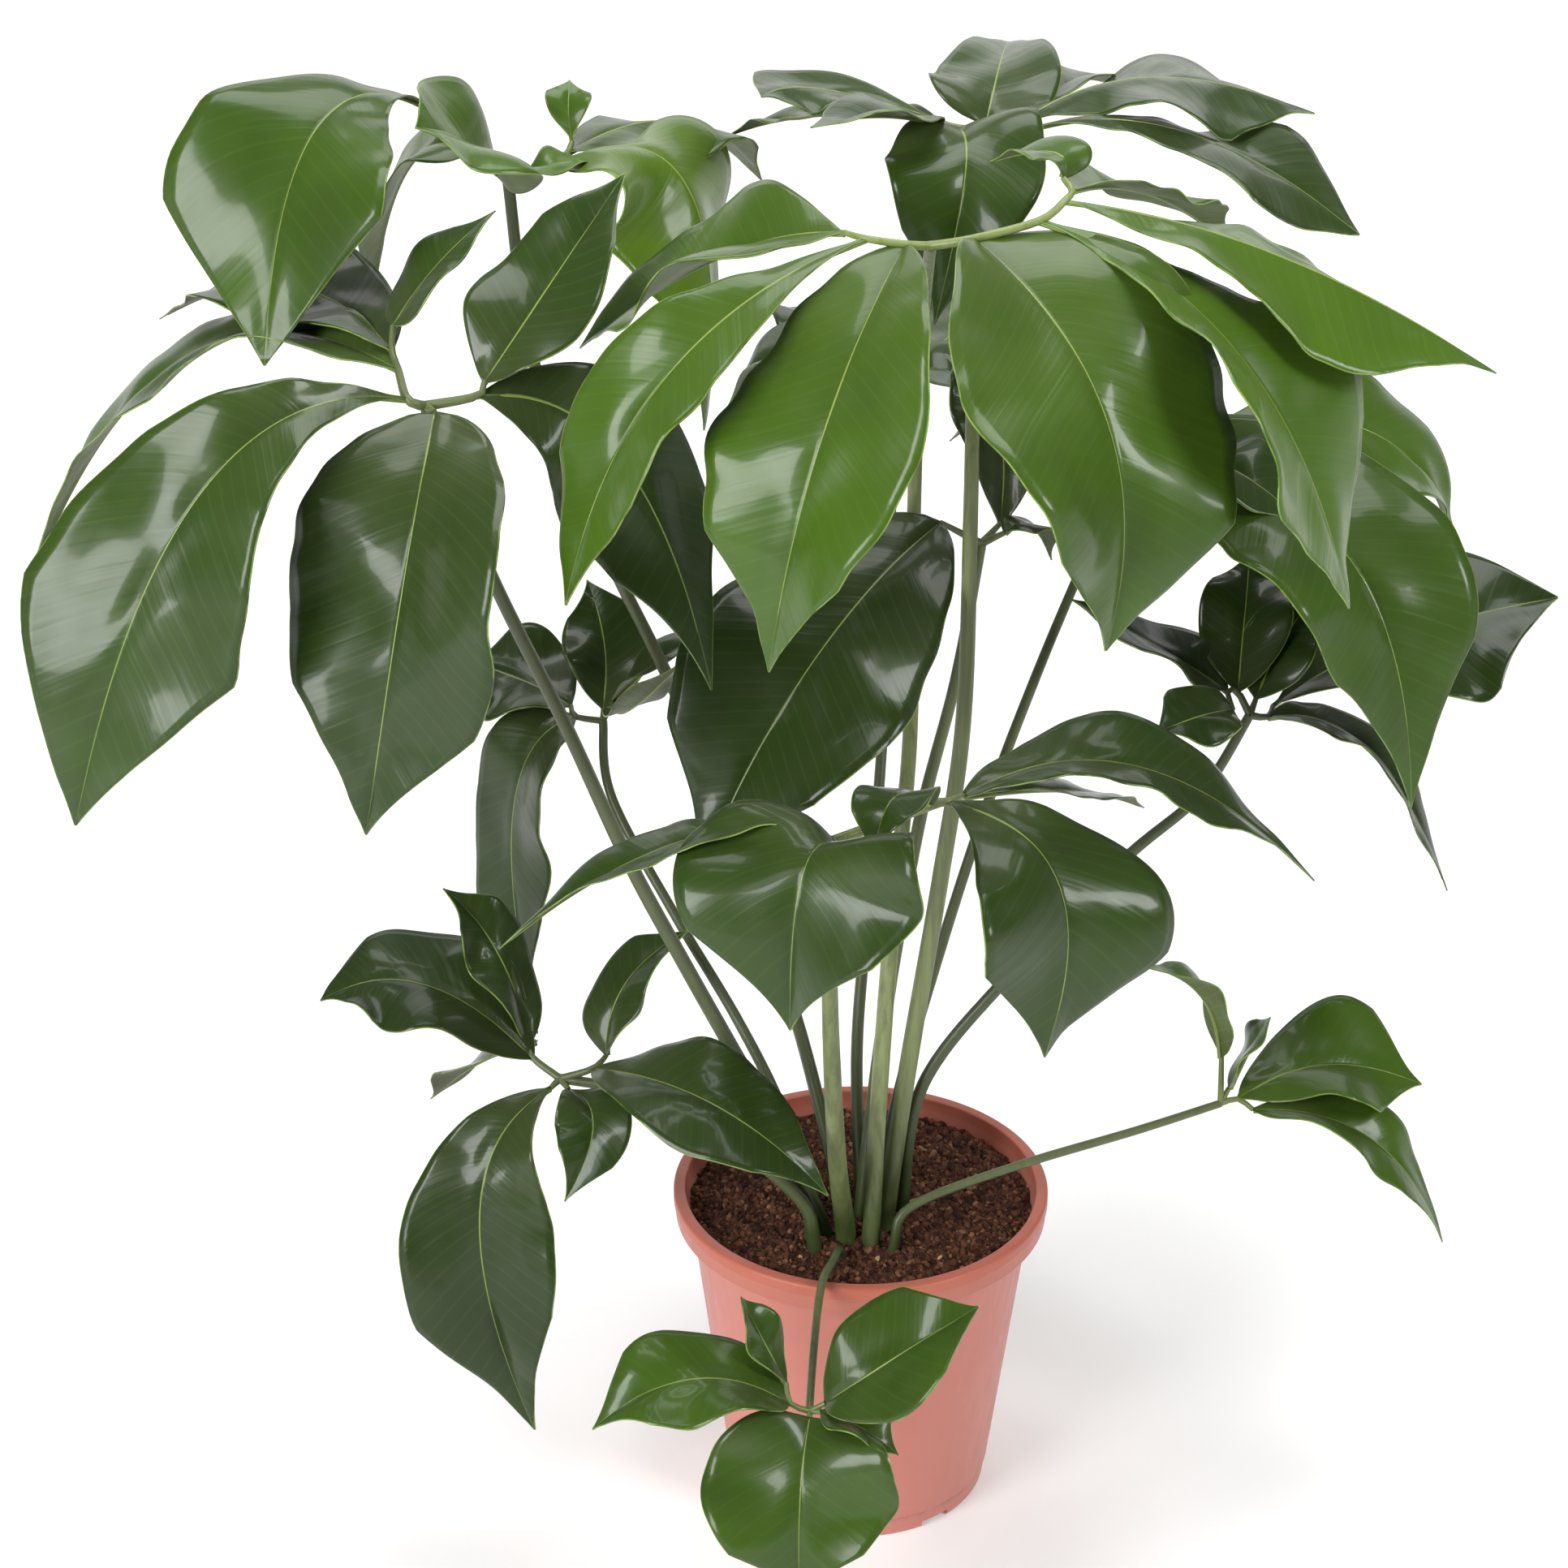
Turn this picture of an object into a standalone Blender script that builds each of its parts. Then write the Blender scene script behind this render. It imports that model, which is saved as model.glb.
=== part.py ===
"""A potted philodendron with its soil and thirteen fronds.

Units are metres, +Z is up, and the origin is the middle of the pot's foot on the floor.
The front of the plant faces -Y. Lengths in the tables below are in millimetres.
"""
import math
from collections import namedtuple

import bmesh
import bpy
from mathutils import Vector

MM = 0.001
BOOLEAN_WELD = 0.0000002

# Pot, a turned plastic shell with a turned-down lip
POT_HEIGHT = 190.0
LIP_RADIUS = 105.0
LIP_DROP = 16.0
LIP_WALL = 1.9
LIP_INNER_RADIUS = 98.2
LIP_INNER_DROP = 6.0
LIP_ROUND = 2.0
BEAD_HEIGHT = 7.5
BAND_STEP = 1.1
NECK_RADIUS = 95.2
NECK_HEIGHT = 172.0
FOOT_RADIUS = 74.0
FOOT_BAND_HEIGHT = 12.0
FOOT_BAND_STEP = 0.7
POT_WALL = 2.2
FLOOR_TOP = 6.0
FLOOR_FILLET = 2.0
EDGE_ROUND = 1.0
RECESS_DEPTH = 3.0
RECESS_INNER_RADIUS = 34.0
RECESS_OUTER_RADIUS = 64.0
POT_SIDES = 32
DRAIN_COUNT = 8
DRAIN_RADIUS = 4.5
DRAIN_RING_RADIUS = 50.0
DRAIN_SIDES = 8
NOTCH_COUNT = 4
NOTCH_FIRST_ANGLE = -54.0
NOTCH_WIDTH = 18.0
NOTCH_HEIGHT = 4.0
NOTCH_REACH = 24.0
TOUCH_GAP = 0.3
POT_SHARP_ANGLE = 35.0

# Soil, a packed plug with a lumpy top and a plain hole for each stalk
SOIL_EDGE_HEIGHT = 178.0
SOIL_MOUND = 5.0
SOIL_LUMP = 1.4
LONG_LUMPS = (0.21, 0.17)
SHORT_LUMPS = (0.29, 0.37)
SHORT_LUMP_SHARE = 0.6
LUMP_SHIFT = 1.3
LUMP_EDGE_POWER = 8
SOIL_SHARP_ANGLE = 60.0
SOIL_FACET_GAP = 0.3
SOIL_FOOT_ROUND = 3.0
SOIL_RINGS = 6
SOIL_SIDES = 26
HOLE_SIDES = 10
HOLE_CLEARANCE = 0.7
HOLE_OVERSHOOT = 18.0

# Stalks
STALK_FOOT_DEPTH = 24.0
STALK_STRAIGHT = 5.0
STALK_LEAN = 0.2
STALK_LEAST_RISE = 12.0
STALK_STEPS = 9
ARM_GIRTH_SHARE = 0.8
ARM_END_RADIUS = 1.4
FROND_SHARP_ANGLE = 50.0

# Blades
BLADE_THICKNESS = 0.9
BLADE_STATIONS = (-0.02, 0.10, 0.28, 0.52, 0.77, 1.0)
BLADE_ROOT_WIDTH = 2.5
BLADE_TIP_WIDTH = 1.4
BLADE_DRAWN_FROM = 0.75
BLADE_DRAWN_BY = 0.35
BLADE_TIP_TAPER = 0.8
BLADE_WAVE = 0.20
LEFT_WAVES = 9.0
RIGHT_WAVES = 8.0
RIGHT_WAVE_SHIFT = 2.0
LEAF_WAVE_SHIFT = 1.7
FROND_WAVE_SHIFT = 0.01

# A leaflet: where its base, middle and tip lie from the frond's hub, its width, how far its
# right edge, seen from the base, is rolled down in degrees, where along its length it is
# widest, how steeply its halves rise from the midrib, and how slowly it widens from its base
Leaf = namedtuple("Leaf", "base middle tip width roll widest fold taper", defaults=(0.47, 0.16, 0.8))

# A frond: where its stalk leaves the soil, how thick the stalk is at its foot and at its top, the
# points that it rises through, the hub at its top, the leaflets at the hub, and those along the
# two arms that leave it
Frond = namedtuple("Frond", "foot girth route hub middle left right")

FRONDS = {
    "frond_rear_left": Frond(
        foot=(-12, -16), girth=(8.4, 6.2),
        route=[(-22, 12, 228), (-45, 48, 300), (-96, 92, 432), (-142, 104, 535), (-175, 104, 635)],
        hub=(-185, 100, 735),
        middle=[Leaf((5, -2, 2), (22, -8, 12), (45, -5, 12), 30, 0)],
        left=[
            Leaf((-5, 0, 5), (-20, -42, 34), (-38, -75, 48), 80, -40, 0.42, 0.3),
            Leaf((-20, 28, 8), (-59, 62, -9), (-86, 92, -96), 76, -30),
            Leaf((-34, 16, 31), (-90, -44, 41), (-114, -112, -61), 122, -12, 0.72, taper=0.7),
        ],
        right=[
            Leaf((25, 5, 10), (93, 0, -3), (100, -25, -126), 118, 5, fold=-0.25, taper=0.6),
            Leaf((30, 15, 12), (87, 70, 14), (130, 105, -28), 74, 0, fold=-0.15),
            Leaf((32, 20, 16), (30, 30, 30), (30, 45, 42), 24, 0, 0.66),
        ],
    ),
    "frond_front_left": Frond(
        foot=(-22, -38), girth=(9.2, 6.4),
        route=[(-55, -32, 262), (-95, -30, 345), (-125, -30, 410), (-155, -35, 490), (-190, -45, 580)],
        hub=(-215, -60, 670),
        middle=[Leaf((5, -8, 0), (-8, -70, -70), (-30, -80, -190), 122, 0, 0.52, taper=0.5)],
        left=[
            Leaf((-8, -5, 5), (-98, -62, -19), (-170, -80, -185), 118, -42, 0.74, taper=0.6),
            Leaf((-16, 30, 8), (-138, 112, -14), (-230, 100, -146), 66, -10),
            Leaf((-20, 42, 14), (-83, 120, 23), (-156, 160, -8), 72, -15),
            Leaf((-20, 50, 24), (2, 65, 51), (30, 80, 73), 40, 0, 0.34),
        ],
        right=[
            Leaf((25, 0, 5), (93, 10, -31), (136, -10, -145), 78, 48, 0.55, -0.2),
            Leaf((28, 5, 10), (57, 30, 48), (95, 70, 95), 64, 15, fold=0.2),
        ],
    ),
    "frond_mid_left": Frond(
        foot=(-25, -26), girth=(7.2, 5.0),
        route=[(-45, 0, 240), (-70, 30, 280), (-105, 60, 330), (-140, 95, 385)],
        hub=(-145, 120, 420),
        middle=[Leaf((0, 5, 5), (0, 30, 35), (-10, 50, 65), 50, 0)],
        left=[
            Leaf((-15, -5, 5), (-50, -30, -42), (-41, -30, -186), 68, 0),
            Leaf((-18, 3, 8), (-50, 20, 18), (-78, 30, 22), 74, -20),
        ],
        right=[
            Leaf((5, 8, 8), (38, 0, 42), (80, -5, 64), 36, 0),
            Leaf((8, -6, 10), (22, -50, 34), (48, -80, 72), 30, 0),
        ],
    ),
    "frond_low_left": Frond(
        foot=(-27, -51), girth=(8.8, 5.4),
        route=[(-35, -46, 210), (-77, -38, 245), (-121, -28, 265)],
        hub=(-165, -20, 270),
        middle=[
            Leaf((5, -8, -2), (20, -40, -5), (5, -60, -40), 42, 0),
            Leaf((-5, -5, -3), (-42, -50, -55), (-16, -60, -190), 84, 0, 0.62, taper=0.65),
        ],
        left=[
            Leaf((-15, 8, 8), (-75, 20, 48), (-130, 15, 40), 84, -16),
            Leaf((-18, 15, 12), (-35, 42, 55), (-65, 55, 88), 42, 0),
            Leaf((-15, 22, 10), (-50, 60, -25), (-82, 85, -65), 44, 0),
        ],
        right=[
            Leaf((18, -3, 8), (85, -62, 22), (145, -85, -20), 66, 15, fold=0.05),
            Leaf((25, 8, 10), (35, 25, 45), (70, 40, 70), 44, 0),
        ],
    ),
    "frond_centre": Frond(
        foot=(-9, -44), girth=(12.4, 7.0),
        route=[(-14, -62, 240), (-18, -90, 320), (-20, -112, 390)],
        hub=(-20, -128, 470),
        middle=[Leaf((3, -6, 2), (-15, -32, -5), (-20, -45, -80), 132, 0, taper=0.45)],
        left=[Leaf((-5, 4, 2), (-80, 12, -8), (-165, 10, -65), 44, 8)],
        right=[
            Leaf((50, 28, 6), (30, -2, 25), (20, -22, 0), 36, 0),
            Leaf((58, 28, 8), (110, -22, -12), (105, -37, -100), 116, 0, 0.62, 0.02, taper=0.7),
            Leaf((66, 42, 4), (155, 58, 13), (248, 58, -52), 62, 8),
            Leaf((68, 50, 0), (125, 98, -20), (170, 148, -55), 35, 0),
        ],
    ),
    "frond_top_bright": Frond(
        foot=(5, -46), girth=(10.8, 5.6),
        route=[(8, -30, 250), (15, -5, 355), (24, 25, 450), (25, 48, 560), (25, 25, 660), (25, -35, 720)],
        hub=(25, -80, 755),
        middle=[],
        left=[
            Leaf((-12, -4, 2), (-52, -75, -70), (-75, -80, -180), 106, 0),
            Leaf((-30, -5, 5), (-122, -42, -49), (-170, -60, -155), 66, -22, 0.64),
            Leaf((-40, 5, 5), (-100, 38, -17), (-169, 80, -76), 86, -20, 0.6, 0.3),
        ],
        right=[
            Leaf((20, -5, 5), (78, -78, -60), (80, -90, -165), 144, 0, 0.46, taper=0.65),
            Leaf((50, 0, 12), (142, -35, -42), (200, -40, -165), 104, 12, 0.68),
            Leaf((62, 6, 20), (165, 10, -8), (270, 10, -65), 86, 6, 0.62, -0.35),
            Leaf((66, 16, 22), (110, 90, 0), (160, 160, -45), 60, 0),
            Leaf((62, 22, 26), (58, 32, 36), (30, 55, 25), 36, 0),
        ],
    ),
    "frond_top_rear": Frond(
        foot=(13, -30), girth=(11.2, 6.2),
        route=[(25, -18, 280), (40, -14, 390), (50, -12, 480), (51, -12, 590), (52, 20, 680)],
        hub=(55, 90, 765),
        middle=[Leaf((5, 10, 0), (15, 60, 20), (25, 150, 10), 66, 0, 0.29)],
        left=[
            Leaf((-10, -4, 2), (-8, -45, -12), (-22, -55, -85), 80, 0, 0.38, taper=0.6),
            Leaf((-18, -2, 4), (-50, -40, 18), (-85, -90, 25), 40, 0),
            Leaf((-22, 5, 5), (-80, 10, 19), (-109, -20, 22), 50, -15, 0.6, 0.0),
            Leaf((-20, 12, 3), (-79, 60, -7), (-128, 100, -29), 34, 0),
        ],
        right=[
            Leaf((15, -5, -2), (98, -28, 8), (190, -50, -40), 104, 5, 0.79, -0.1),
            Leaf((22, 4, 3), (90, 22, 22), (175, 22, 3), 110, 0, 0.6, -0.2),
            Leaf((18, 15, 2), (65, 110, 0), (105, 200, -30), 60, 0),
        ],
    ),
    "frond_inner_dark": Frond(
        foot=(0, -20), girth=(9.4, 5.6),
        route=[(12, 8, 290), (30, 30, 400), (48, 38, 480)],
        hub=(60, 38, 560),
        middle=[Leaf((10, 8, 8), (8, 45, 60), (-18, 75, 78), 52, 0)],
        left=[Leaf((-22, -8, 15), (-90, -68, -40), (-146, -100, -142), 120, -26, 0.5, taper=0.65)],
        right=[Leaf((12, 0, 6), (26, 8, 8), (38, 12, -14), 34, 0)],
    ),
    "frond_right": Frond(
        foot=(23, -20), girth=(7.8, 5.2),
        route=[(33, -14, 262), (80, -3, 326), (140, 12, 388), (180, 22, 422)],
        hub=(205, 30, 465),
        middle=[Leaf((4, 8, 6), (18, 28, 28), (34, 42, 46), 42, 20)],
        left=[
            Leaf((-6, 8, 10), (0, 40, 40), (5, 70, 65), 50, 0),
            Leaf((-12, 5, 12), (-45, 18, 30), (-95, 28, 55), 52, 0),
            Leaf((-10, -6, 6), (-32, -28, 12), (-55, -48, 12), 42, -30),
        ],
        right=[
            Leaf((10, 2, -2), (65, 0, -20), (110, -20, -95), 42, 0),
            Leaf((14, 12, 0), (92, 88, 6), (183, 100, 26), 104, 28, 0.68, taper=0.7),
        ],
    ),
    "frond_low_right": Frond(
        foot=(17, -55), girth=(5.8, 4.4),
        route=[(27, -48, 206), (84, -30, 220), (152, -12, 232)],
        hub=(199, 0, 242),
        middle=[Leaf((5, 6, 6), (15, 6, 32), (25, 5, 52), 32, 0)],
        left=[Leaf((0, 8, 25), (-15, 0, 70), (-50, -15, 95), 36, 0)],
        right=[
            Leaf((10, 3, 1), (60, 18, 14), (115, 20, 0), 80, 15, 0.62, taper=0.6),
            Leaf((18, -2, -3), (82, -16, -13), (125, -25, -75), 44, 10),
        ],
    ),
    "frond_over_rim": Frond(
        foot=(-12, -62), girth=(4.8, 4.2),
        route=[(-17, -80, 191), (-22, -101, 195), (-25, -122, 192), (-28, -157, 183)],
        hub=(-30, -190, 175),
        middle=[
            Leaf((0, -5, 0), (-5, -35, -30), (-5, -46, -78), 100, 0, 0.42, taper=0.5),
            Leaf((6, -3, 2), (25, -15, 2), (45, -20, -12), 30, 0),
        ],
        left=[
            Leaf((-10, 0, 5), (-60, -5, 24), (-110, -15, 0), 62, -15, taper=0.6),
            Leaf((-12, 8, 12), (-25, 18, 35), (-35, 22, 55), 24, 0),
        ],
        right=[Leaf((8, 0, 5), (40, -5, 35), (85, 5, 61), 68, 25, 0.55, taper=0.6)],
    ),
    "frond_rear_right": Frond(
        foot=(12, -12), girth=(7.2, 5.0),
        route=[(20, 8, 240), (45, 30, 330), (70, 48, 410), (95, 75, 470), (118, 98, 520)],
        hub=(145, 120, 580),
        middle=[Leaf((5, 15, 0), (25, 100, 5), (40, 180, -20), 66, 0)],
        left=[Leaf((-10, 2, 2), (-55, 30, 15), (-95, 60, -15), 50, 0)],
        right=[
            Leaf((5, -5, 0), (105, -80, -25), (144, -120, -155), 116, 22, taper=0.7),
            Leaf((12, -6, 2), (48, -45, 8), (90, -65, -20), 58, 0),
            Leaf((15, 8, 0), (126, 30, 5), (183, 20, -58), 98, 20, 0.7),
        ],
    ),
    "frond_back": Frond(
        foot=(0, -6), girth=(7.6, 5.0),
        route=[(-2, 25, 270), (8, 65, 380), (15, 120, 470), (18, 180, 540)],
        hub=(20, 220, 585),
        middle=[Leaf((0, 10, 2), (8, 90, 5), (10, 165, -40), 74, 0, taper=0.65)],
        left=[
            Leaf((-8, 0, 2), (-55, 20, 15), (-95, 20, -20), 65, 0),
            Leaf((-10, 10, 3), (-35, 70, 12), (-65, 140, 0), 70, 0),
        ],
        right=[
            Leaf((8, 0, 2), (35, -10, 8), (65, -20, -35), 55, 0),
            Leaf((10, 8, 3), (45, 70, 12), (85, 140, -5), 70, 0),
        ],
    ),
}

LOOKS = {
    "pot": ((0.55, 0.20, 0.14), 0.45),
    "soil": ((0.06, 0.028, 0.018), 0.95),
    "frond": ((0.035, 0.10, 0.018), 0.30),
}


def clear_scene():
    for item in list(bpy.data.objects):
        bpy.data.objects.remove(item, do_unlink=True)


def new_collection(name, hidden=False):
    collection = bpy.data.collections.new(name)
    bpy.context.scene.collection.children.link(collection)
    collection.hide_render = hidden
    return collection


def principled(name, look):
    colour, roughness = look
    material = bpy.data.materials.new(name)
    material.use_nodes = True
    shader = material.node_tree.nodes["Principled BSDF"]
    shader.inputs["Base Color"].default_value = (*colour, 1.0)
    shader.inputs["Roughness"].default_value = roughness
    shader.inputs["Metallic"].default_value = 0.0
    return material


def mesh_object(name, mesh, collection):
    item = bpy.data.objects.new(name, mesh)
    collection.objects.link(item)
    return item


def applied(item, weld=0.00001):
    """The same object with its modifiers, or its curve, turned into plain mesh and welded."""
    graph = bpy.context.evaluated_depsgraph_get()
    mesh = bpy.data.meshes.new_from_object(item.evaluated_get(graph), depsgraph=graph)
    work = bmesh.new()
    work.from_mesh(mesh)
    bmesh.ops.remove_doubles(work, verts=work.verts, dist=weld)
    work.to_mesh(mesh)
    work.free()
    result = bpy.data.objects.new(item.name + "_mesh", mesh)
    result.matrix_world = item.matrix_world
    for collection in item.users_collection:
        collection.objects.link(result)
    name = item.name
    bpy.data.objects.remove(item, do_unlink=True)
    result.name = name
    return result


def shells(work):
    """The connected shells of a bmesh, each a set of its vertices."""
    left = set(work.verts)
    found = []
    while left:
        shell = set()
        edge = [left.pop()]
        while edge:
            point = edge.pop()
            shell.add(point)
            near = {link.other_vert(point) for link in point.link_edges} & left
            left -= near
            edge.extend(near)
        found.append(shell)
    return found


def keep_outer_shell(mesh):
    """Fills any small hollow that the joined shapes close in, and drops loose scraps."""
    work = bmesh.new()
    work.from_mesh(mesh)
    found = sorted(shells(work), key=len)
    spare = [point for shell in found[:-1] for point in shell]
    bmesh.ops.delete(work, geom=spare, context="VERTS")
    work.to_mesh(mesh)
    work.free()


def boolean(item, operation, collection, solver="EXACT"):
    """Joins or cuts an object with every object of a collection, which is then removed."""
    step = item.modifiers.new(operation.title(), "BOOLEAN")
    step.operation = operation
    step.operand_type = "COLLECTION"
    step.collection = collection
    step.solver = solver
    result = applied(item, weld=BOOLEAN_WELD)
    for tool in list(collection.objects):
        bpy.data.objects.remove(tool, do_unlink=True)
    bpy.data.collections.remove(collection)
    return result


def turned(name, profile, sides, collection):
    """A profile of (radius, height) points in millimetres, turned round the Z axis."""
    mesh = bpy.data.meshes.new(name)
    points = [(radius * MM, 0.0, height * MM) for radius, height in profile]
    mesh.from_pydata(points, [(i, i + 1) for i in range(len(points) - 1)], [])
    item = mesh_object(name, mesh, collection)
    screw = item.modifiers.new("Turn", "SCREW")
    screw.steps = sides
    screw.render_steps = sides
    screw.use_merge_vertices = True
    screw.merge_threshold = 0.0001
    return applied(item)


def smooth(item, angle):
    item.data.shade_smooth()
    item.data.set_sharp_from_angle(angle=math.radians(angle))


def wall_radius(height):
    """The pot's outer radius at a height below its neck."""
    return FOOT_RADIUS + (NECK_RADIUS - FOOT_RADIUS) * height / NECK_HEIGHT


def inner_radius(height):
    """The radius of the pot's inner wall, which flares out under the lip."""
    neck = NECK_RADIUS - POT_WALL
    low, high = NECK_HEIGHT - EDGE_ROUND, POT_HEIGHT - LIP_INNER_DROP
    if height <= low:
        return wall_radius(height) - POT_WALL
    return neck + (LIP_INNER_RADIUS - neck) * min((height - low) / (high - low), 1.0)


def pot_profile():
    """The pot's section: floor, inner wall, rounded lip with a bead and a band, outer wall and foot."""
    lip_low = POT_HEIGHT - LIP_DROP
    bead_low = POT_HEIGHT - BEAD_HEIGHT
    band = LIP_RADIUS - BAND_STEP
    hollow = LIP_INNER_RADIUS + LIP_WALL
    return [
        (0.0, FLOOR_TOP),
        (wall_radius(FLOOR_TOP) - POT_WALL - FLOOR_FILLET, FLOOR_TOP),
        (inner_radius(FLOOR_TOP + FLOOR_FILLET), FLOOR_TOP + FLOOR_FILLET),
        (inner_radius(NECK_HEIGHT - EDGE_ROUND), NECK_HEIGHT - EDGE_ROUND),
        (LIP_INNER_RADIUS, POT_HEIGHT - LIP_INNER_DROP),
        (LIP_INNER_RADIUS, POT_HEIGHT - EDGE_ROUND),
        (LIP_INNER_RADIUS + EDGE_ROUND, POT_HEIGHT),
        (LIP_RADIUS - LIP_ROUND, POT_HEIGHT),
        (LIP_RADIUS, POT_HEIGHT - LIP_ROUND),
        (LIP_RADIUS, bead_low + LIP_ROUND),
        (band, bead_low),
        (band, lip_low + EDGE_ROUND),
        (band - EDGE_ROUND, lip_low),
        (band - LIP_WALL, lip_low),
        (band - LIP_WALL, bead_low + LIP_ROUND),
        (hollow, bead_low + LIP_ROUND),
        (NECK_RADIUS, NECK_HEIGHT),
        (wall_radius(FOOT_BAND_HEIGHT), FOOT_BAND_HEIGHT),
        (wall_radius(FOOT_BAND_HEIGHT) - FOOT_BAND_STEP, FOOT_BAND_HEIGHT - EDGE_ROUND),
        (FOOT_RADIUS - FOOT_BAND_STEP, EDGE_ROUND),
        (FOOT_RADIUS - FOOT_BAND_STEP - EDGE_ROUND, 0.0),
        (RECESS_OUTER_RADIUS, 0.0),
        (RECESS_OUTER_RADIUS - EDGE_ROUND, RECESS_DEPTH),
        (RECESS_INNER_RADIUS + EDGE_ROUND, RECESS_DEPTH),
        (RECESS_INNER_RADIUS, 0.0),
        (0.0, 0.0),
    ]


def cutter(name, collection):
    item = bpy.context.active_object
    item.name = name
    for owner in list(item.users_collection):
        owner.objects.unlink(item)
    collection.objects.link(item)
    item.hide_render = True
    item.display_type = "WIRE"
    return item


def build_pot(parts):
    pot = turned("pot", pot_profile(), POT_SIDES, parts)
    cuts = new_collection("pot_cutters", hidden=True)
    for i in range(DRAIN_COUNT):
        angle = math.tau * (i + 0.5) / DRAIN_COUNT
        bpy.ops.mesh.primitive_cylinder_add(
            vertices=DRAIN_SIDES, radius=DRAIN_RADIUS * MM, depth=2 * FLOOR_TOP * MM,
            location=(DRAIN_RING_RADIUS * MM * math.cos(angle), DRAIN_RING_RADIUS * MM * math.sin(angle),
                      FLOOR_TOP / 2 * MM))
        cutter("drain_cut", cuts)
    for i in range(NOTCH_COUNT):
        angle = math.radians(NOTCH_FIRST_ANGLE + 360.0 * i / NOTCH_COUNT)
        middle = (FOOT_RADIUS + RECESS_OUTER_RADIUS) / 2 * MM
        bpy.ops.mesh.primitive_cube_add(
            size=1.0, location=(middle * math.cos(angle), middle * math.sin(angle), 0.0),
            rotation=(0.0, 0.0, angle),
            scale=(NOTCH_REACH * MM, NOTCH_WIDTH * MM, 2 * NOTCH_HEIGHT * MM))
        bpy.ops.object.transform_apply(location=False, rotation=False, scale=True)
        cutter("notch_cut", cuts)
    pot = boolean(pot, "DIFFERENCE", cuts)
    smooth(pot, POT_SHARP_ANGLE)
    pot.data.materials.append(principled("pot", LOOKS["pot"]))
    return pot


def soil_lump(x, y):
    """The height in millimetres of the soil's lumps at a point."""
    long_lump = math.sin(LONG_LUMPS[0] * x + LUMP_SHIFT) * math.cos(LONG_LUMPS[1] * y)
    short_lump = math.sin(SHORT_LUMPS[0] * x + SHORT_LUMPS[1] * y)
    return SOIL_LUMP * (long_lump + SHORT_LUMP_SHARE * short_lump)


def build_soil(parts):
    gap = TOUCH_GAP + SOIL_FACET_GAP
    edge = inner_radius(SOIL_EDGE_HEIGHT) - gap
    neck = NECK_HEIGHT - EDGE_ROUND
    low = FLOOR_TOP + TOUCH_GAP
    foot_top = low + SOIL_FOOT_ROUND
    profile = [(edge * i / SOIL_RINGS, SOIL_EDGE_HEIGHT + SOIL_MOUND * (1 - (i / SOIL_RINGS) ** 2))
               for i in range(SOIL_RINGS + 1)]
    profile += [
        (inner_radius(neck) - gap, neck),
        (inner_radius(foot_top) - gap, foot_top),
        (inner_radius(low) - gap - FLOOR_FILLET, low),
        (0.0, low),
    ]
    soil = turned("soil", profile, SOIL_SIDES, parts)
    for point in soil.data.vertices:
        x, y = point.co.x / MM, point.co.y / MM
        if point.co.z > (SOIL_EDGE_HEIGHT - EDGE_ROUND) * MM:
            inside = 1.0 - (math.hypot(x, y) / edge) ** LUMP_EDGE_POWER
            point.co.z += soil_lump(x, y) * max(inside, 0.0) * MM
    cuts = new_collection("soil_cutters", hidden=True)
    for frond in FRONDS.values():
        foot, rise = stalk_foot(frond)
        length = STALK_FOOT_DEPTH + HOLE_OVERSHOOT
        bpy.ops.mesh.primitive_cylinder_add(
            vertices=HOLE_SIDES, radius=(0.5 * frond.girth[0] + HOLE_CLEARANCE) * MM,
            depth=(length + EDGE_ROUND) * MM, location=(foot + rise * 0.5 * length) * MM,
            rotation=rise.to_track_quat("Z", "Y").to_euler())
        cutter("stalk_hole", cuts)
    soil = boolean(soil, "DIFFERENCE", cuts)
    smooth(soil, SOIL_SHARP_ANGLE)
    soil.data.materials.append(principled("soil", LOOKS["soil"]))
    return soil


def spline_points(corners, steps):
    """Points along a smooth curve through the corners, evenly spread in its parameter."""
    ends = [2 * corners[0] - corners[1]] + corners + [2 * corners[-1] - corners[-2]]
    spans = len(corners) - 1
    points = []
    for i in range(steps + 1):
        place = min(spans * i / steps, spans - 1e-6)
        k = int(place)
        t = place - k
        a, b, c, d = ends[k:k + 4]
        points.append(0.5 * (2 * b + (c - a) * t + (2 * a - 5 * b + 4 * c - d) * t * t
                             + (3 * b - a - 3 * c + d) * t ** 3))
    return points


def stalk_foot(frond):
    """The lowest point of a frond's stalk in the soil and the direction that it rises in."""
    top = Vector((*frond.foot, SOIL_EDGE_HEIGHT + SOIL_MOUND))
    aim = Vector(frond.route[0]) - top
    rise = Vector((STALK_LEAN * aim.x, STALK_LEAN * aim.y, max(aim.z, STALK_LEAST_RISE))).normalized()
    return top - rise * STALK_FOOT_DEPTH, rise


def tube(name, points, radii, resolution, collection):
    """A rod through points in millimetres with a radius at each point."""
    curve = bpy.data.curves.new(name, "CURVE")
    curve.dimensions = "3D"
    curve.bevel_depth = MM
    curve.bevel_resolution = resolution
    curve.use_fill_caps = True
    spline = curve.splines.new("POLY")
    spline.points.add(len(points) - 1)
    for spot, point, radius in zip(spline.points, points, radii):
        spot.co = (*(point * MM), 1.0)
        spot.radius = radius
    item = bpy.data.objects.new(name, curve)
    collection.objects.link(item)
    return applied(item)


def stalk_route(frond):
    foot, rise = stalk_foot(frond)
    straight = foot + rise * (STALK_FOOT_DEPTH + STALK_STRAIGHT)
    corners = [straight] + [Vector(point) for point in frond.route] + [Vector(frond.hub)]
    return [foot] + spline_points(corners, STALK_STEPS)


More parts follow.
